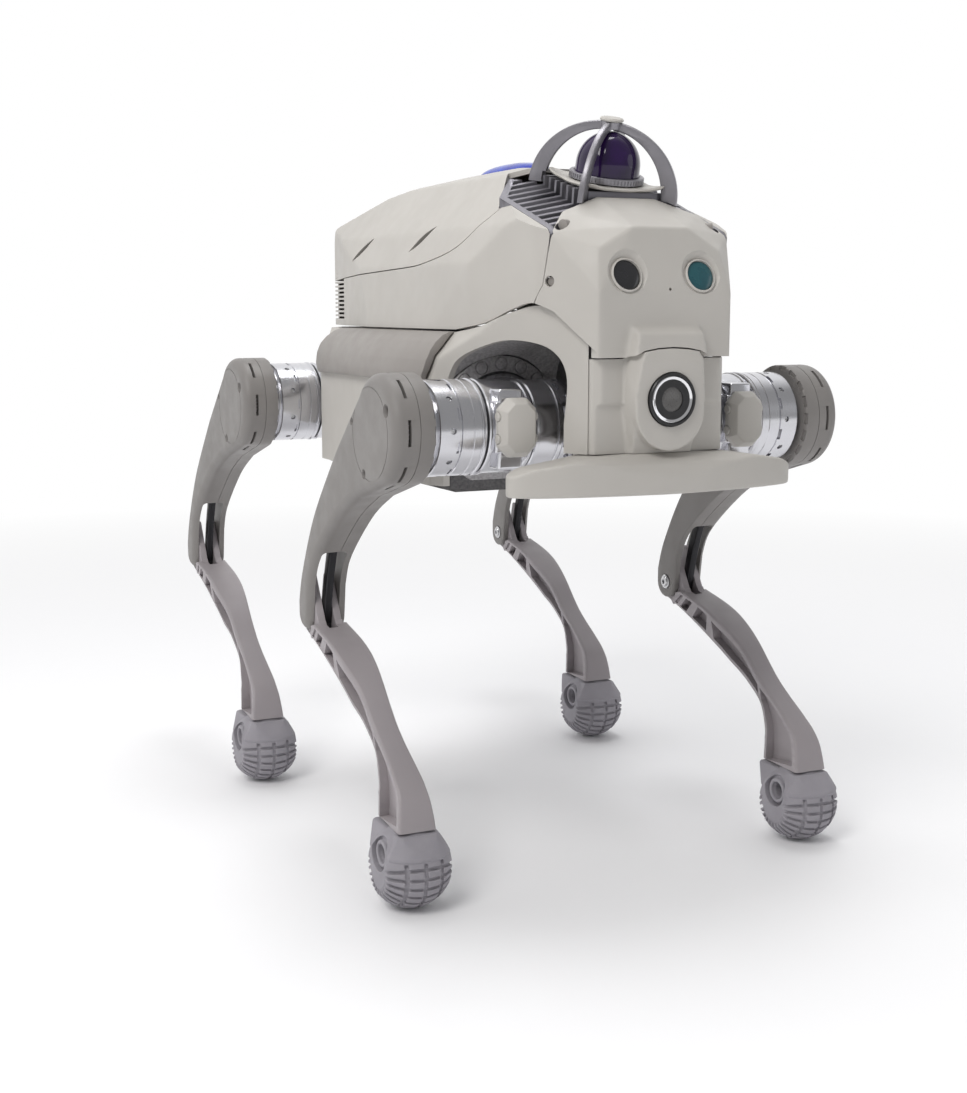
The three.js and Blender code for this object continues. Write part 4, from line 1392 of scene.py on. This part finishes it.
def lidar_cage():
    """Guard of two crossed straps over the lidar."""
    radius, height, width, thick = CAGE["radius"], CAGE["height"], CAGE["width"], CAGE["thick"]

    def ellipse(side, up, steps=48):
        return [(side * x, up * z) for x, z in arc((0, 0), 1, 0, 180, steps)]

    outline = [
        (radius, CAGE["foot"]), *ellipse(radius, height), (-radius, CAGE["foot"]),
        (width - radius, CAGE["foot"]), *reversed(ellipse(radius - width, height - 7)),
        (radius - width, CAGE["foot"]),
    ]
    strap = rounded("x", outline, -thick / 2, thick / 2, 0.8, 0.8, 3)
    other = turned(copy(strap), 135, "Z")
    body = join(turned(strap, 45, "Z"), other)
    join(body, bar("z", 8.5, height - 6, height - 0.4))
    moved(body, 0, CAGE["back"], 0)
    out_of_lidar = lidar_matrix().inverted()
    for tool in (join(neck_form(-0.6), pedestal_form()), head_form(-0.8)):
        tool.data.transform(out_of_lidar)
        cut(body, tool)
    return body


def cage_cap():
    """Round cap where the straps of the guard cross."""
    body = lathe("z", [(59.9, 0), (59.9, 9), (60.2, 9.8), (61.4, 10.2), (62.6, 9.4), (63, 8), (62.7, 4),
                       (62.5, 0)], 64)
    return moved(body, 0, CAGE["back"], 0)


def back_light():
    """Long low light dome on the back."""
    half = curve([(0, -86), (9, -80), (15, -66), (17, -30), (16.5, 0), (13, 30), (0, 46)], 24)
    outline = both_sides(half)
    rings = []
    for step in range(9):
        turn = math.pi / 2 * (step / 8)
        shrink, z = math.cos(turn * 0.97), 617 + 11 * math.sin(turn)
        rings.append([(x * shrink, -20 + (y + 20) * shrink, z) for x, y in anticlockwise(outline)])
    body = upright(loft(rings))
    return cut(body, upper_form(-0.3))


def build_trunk():
    """Makes the trunk pieces."""
    form = softened(upper_form(), 2.2, 8)
    place(side_shell(form), "side_shell", CREAM, "trunk", None, ["upper_side_shell"])
    place(rear_cover(form), "top_cover", CREAM, "trunk", None, ["rear_top_cover"])
    bpy.data.objects.remove(form)
    place(head_shell(), "head_cover", CREAM, "trunk", None, ["head_shell"])
    place(head_screws(), "head_screws", TAUPE, "trunk", None, [])
    place(jaw_shell(), "jaw_cover", CREAM, "trunk", None, ["jaw_shell"])
    place(bumper(), "bumper_cover", CREAM, "trunk", None, ["front_bumper"])
    place(lower_shell(), "lower_cover", CREAM, "trunk", None, ["lower_body_shell"])
    place(trunk_frame(), "chassis", CHARCOAL, "trunk", None, ["trunk_frame"])
    # The arch liners wear the paler charcoal, painted light against the shade in the arches.
    place(wheel_arch_liner(-1), "front_arch_liner", CHARCOAL_PAINTED_LIGHTER, "trunk", None, [])
    place(wheel_arch_liner(1), "rear_arch_liner", CHARCOAL_PAINTED_LIGHTER, "trunk", None, [])
    for side, name in ((-1, "right"), (1, "left")):
        place(flap(side), f"{name}_flap", TAUPE, "trunk", None, [f"side_flap_{name}"])
    lenses = ((-1, "right", EYE_BLACK, "dark_lens"), (1, "left", EYE_TEAL, "teal_lens"))
    for side, name, material, slot in lenses:
        place(eye_lens(side), f"{name}_eye_lens", material, "trunk", None, [f"eye_{name}"])
        place(eye_bezel(side), f"{name}_eye_bezel", CREAM, "trunk", None, [])
    nose_camera()
    place(heat_sink(), "finned_heat_sink", SINK_GREY, "trunk", None, ["heat_sink"])
    place(back_light(), "back_light_lens", LIGHT_BLUE, "trunk", None, ["back_light"])
    lean = lidar_matrix()
    place(lidar_plate(), "lidar_plate", CREAM, "trunk", lean, ["lidar_mounting_plate"])
    place(lidar_ring(), "lidar_ring", CAGE_GREY, "trunk", lean, ["lidar_base_ring"])
    place(lidar_dome(), "lidar_window", DOME_VIOLET, "trunk", lean, ["lidar_dome"])
    place(lidar_cage(), "lidar_guard", CAGE_GREY, "trunk", lean, ["lidar_cage"])
    place(cage_cap(), "guard_cap", CREAM, "trunk", lean, ["lidar_cage_cap"])
    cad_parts["battery_pack"].data.materials.clear()
    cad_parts["battery_pack"].data.materials.append(BLACK)


# ---------------------------------------------------------------- studio
def floor():
    """Pale floor that fades into the white room a good way from the robot."""
    edge = 6.0
    corners = [(-edge, -edge, 0), (edge, -edge, 0), (edge, edge, 0), (-edge, edge, 0)]
    plane = mesh_object("floor", corners, [(0, 1, 2, 3)])
    paint = Paint("pale_floor", (0.93, 0.93, 0.945), 0.6)
    paint.mottle(0.6, 0.2, (0.9, 0.9, 0.91)).uneven(40, 0.55, 0.7)
    length = paint.nodes.new("ShaderNodeVectorMath")
    length.operation = "LENGTH"
    paint.links.new(paint.place, length.inputs[0])
    fade = paint.ramp(length.outputs["Value"], 0.0, 1.0, 0.9, 2.4)
    white = paint.nodes.new("ShaderNodeEmission")
    mix = paint.nodes.new("ShaderNodeMixShader")
    material = paint.done()
    paint.links.new(fade, mix.inputs["Fac"])
    paint.links.new(paint.shader.outputs["BSDF"], mix.inputs[1])
    paint.links.new(white.outputs["Emission"], mix.inputs[2])
    paint.links.new(mix.outputs["Shader"], paint.nodes["Material Output"].inputs["Surface"])
    plane.data.materials.append(material)


def area_light(name, place_m, target, size, watts, colour=(1, 1, 1)):
    """A round soft box aimed at a point."""
    data = bpy.data.lights.new(name, "AREA")
    data.shape = "DISK"
    data.size = size
    data.energy = watts
    data.color = colour
    light = bpy.data.objects.new(name, data)
    light.location = place_m
    aim = Vector(target) - Vector(place_m)
    light.rotation_euler = aim.to_track_quat("-Z", "Y").to_euler()
    bpy.context.scene.collection.objects.link(light)


def studio():
    """A white room that is darker behind the camera, two soft boxes and a fill."""
    world = bpy.data.worlds.new("studio")
    world.use_nodes = True
    nodes, links = world.node_tree.nodes, world.node_tree.links
    way = nodes.new("ShaderNodeTexCoord").outputs["Generated"]
    split = nodes.new("ShaderNodeSeparateXYZ")
    ramp = nodes.new("ShaderNodeMapRange")
    links.new(way, split.inputs[0])
    links.new(split.outputs["Y"], ramp.inputs["Value"])
    for socket, value in (("From Min", -0.2), ("From Max", 0.35), ("To Min", 0.34), ("To Max", 1.0)):
        ramp.inputs[socket].default_value = value
    background = nodes["Background"]
    background.inputs["Color"].default_value = (1, 1, 1, 1)
    links.new(ramp.outputs["Result"], background.inputs["Strength"])
    bpy.context.scene.world = world
    bpy.context.scene.view_settings.view_transform = "Standard"
    target = (0, 0, 0.35)
    area_light("key", (-1.7, -1.2, 2.3), target, 1.3, 34, (1, 0.985, 0.965))
    area_light("top", (0.2, 0.3, 2.8), target, 1.2, 20)
    area_light("fill", (2.4, -1.6, 1.0), target, 1.6, 5, (0.96, 0.97, 1))


def camera():
    """The photo's viewpoint, solved from the hips, feet and shell corners."""
    yaw, pitch = math.radians(25.56), math.radians(8.75)
    data = bpy.data.cameras.new("photo_view")
    data.sensor_width = 36
    data.lens = 51.7
    data.clip_end = 50
    eye = bpy.data.objects.new("photo_view", data)
    eye.location = (-0.683, ROBOT_Y - 1.3811, 0.4962)
    eye.rotation_euler = (math.pi / 2 - pitch, 0, -yaw)
    bpy.context.scene.collection.objects.link(eye)
    bpy.context.scene.camera = eye


BELT_SMOOTH = smooth_line(BELT)
SEAM_SMOOTH = smooth_line(SEAM)

camera()
floor()
studio()
build_trunk()
build_legs()
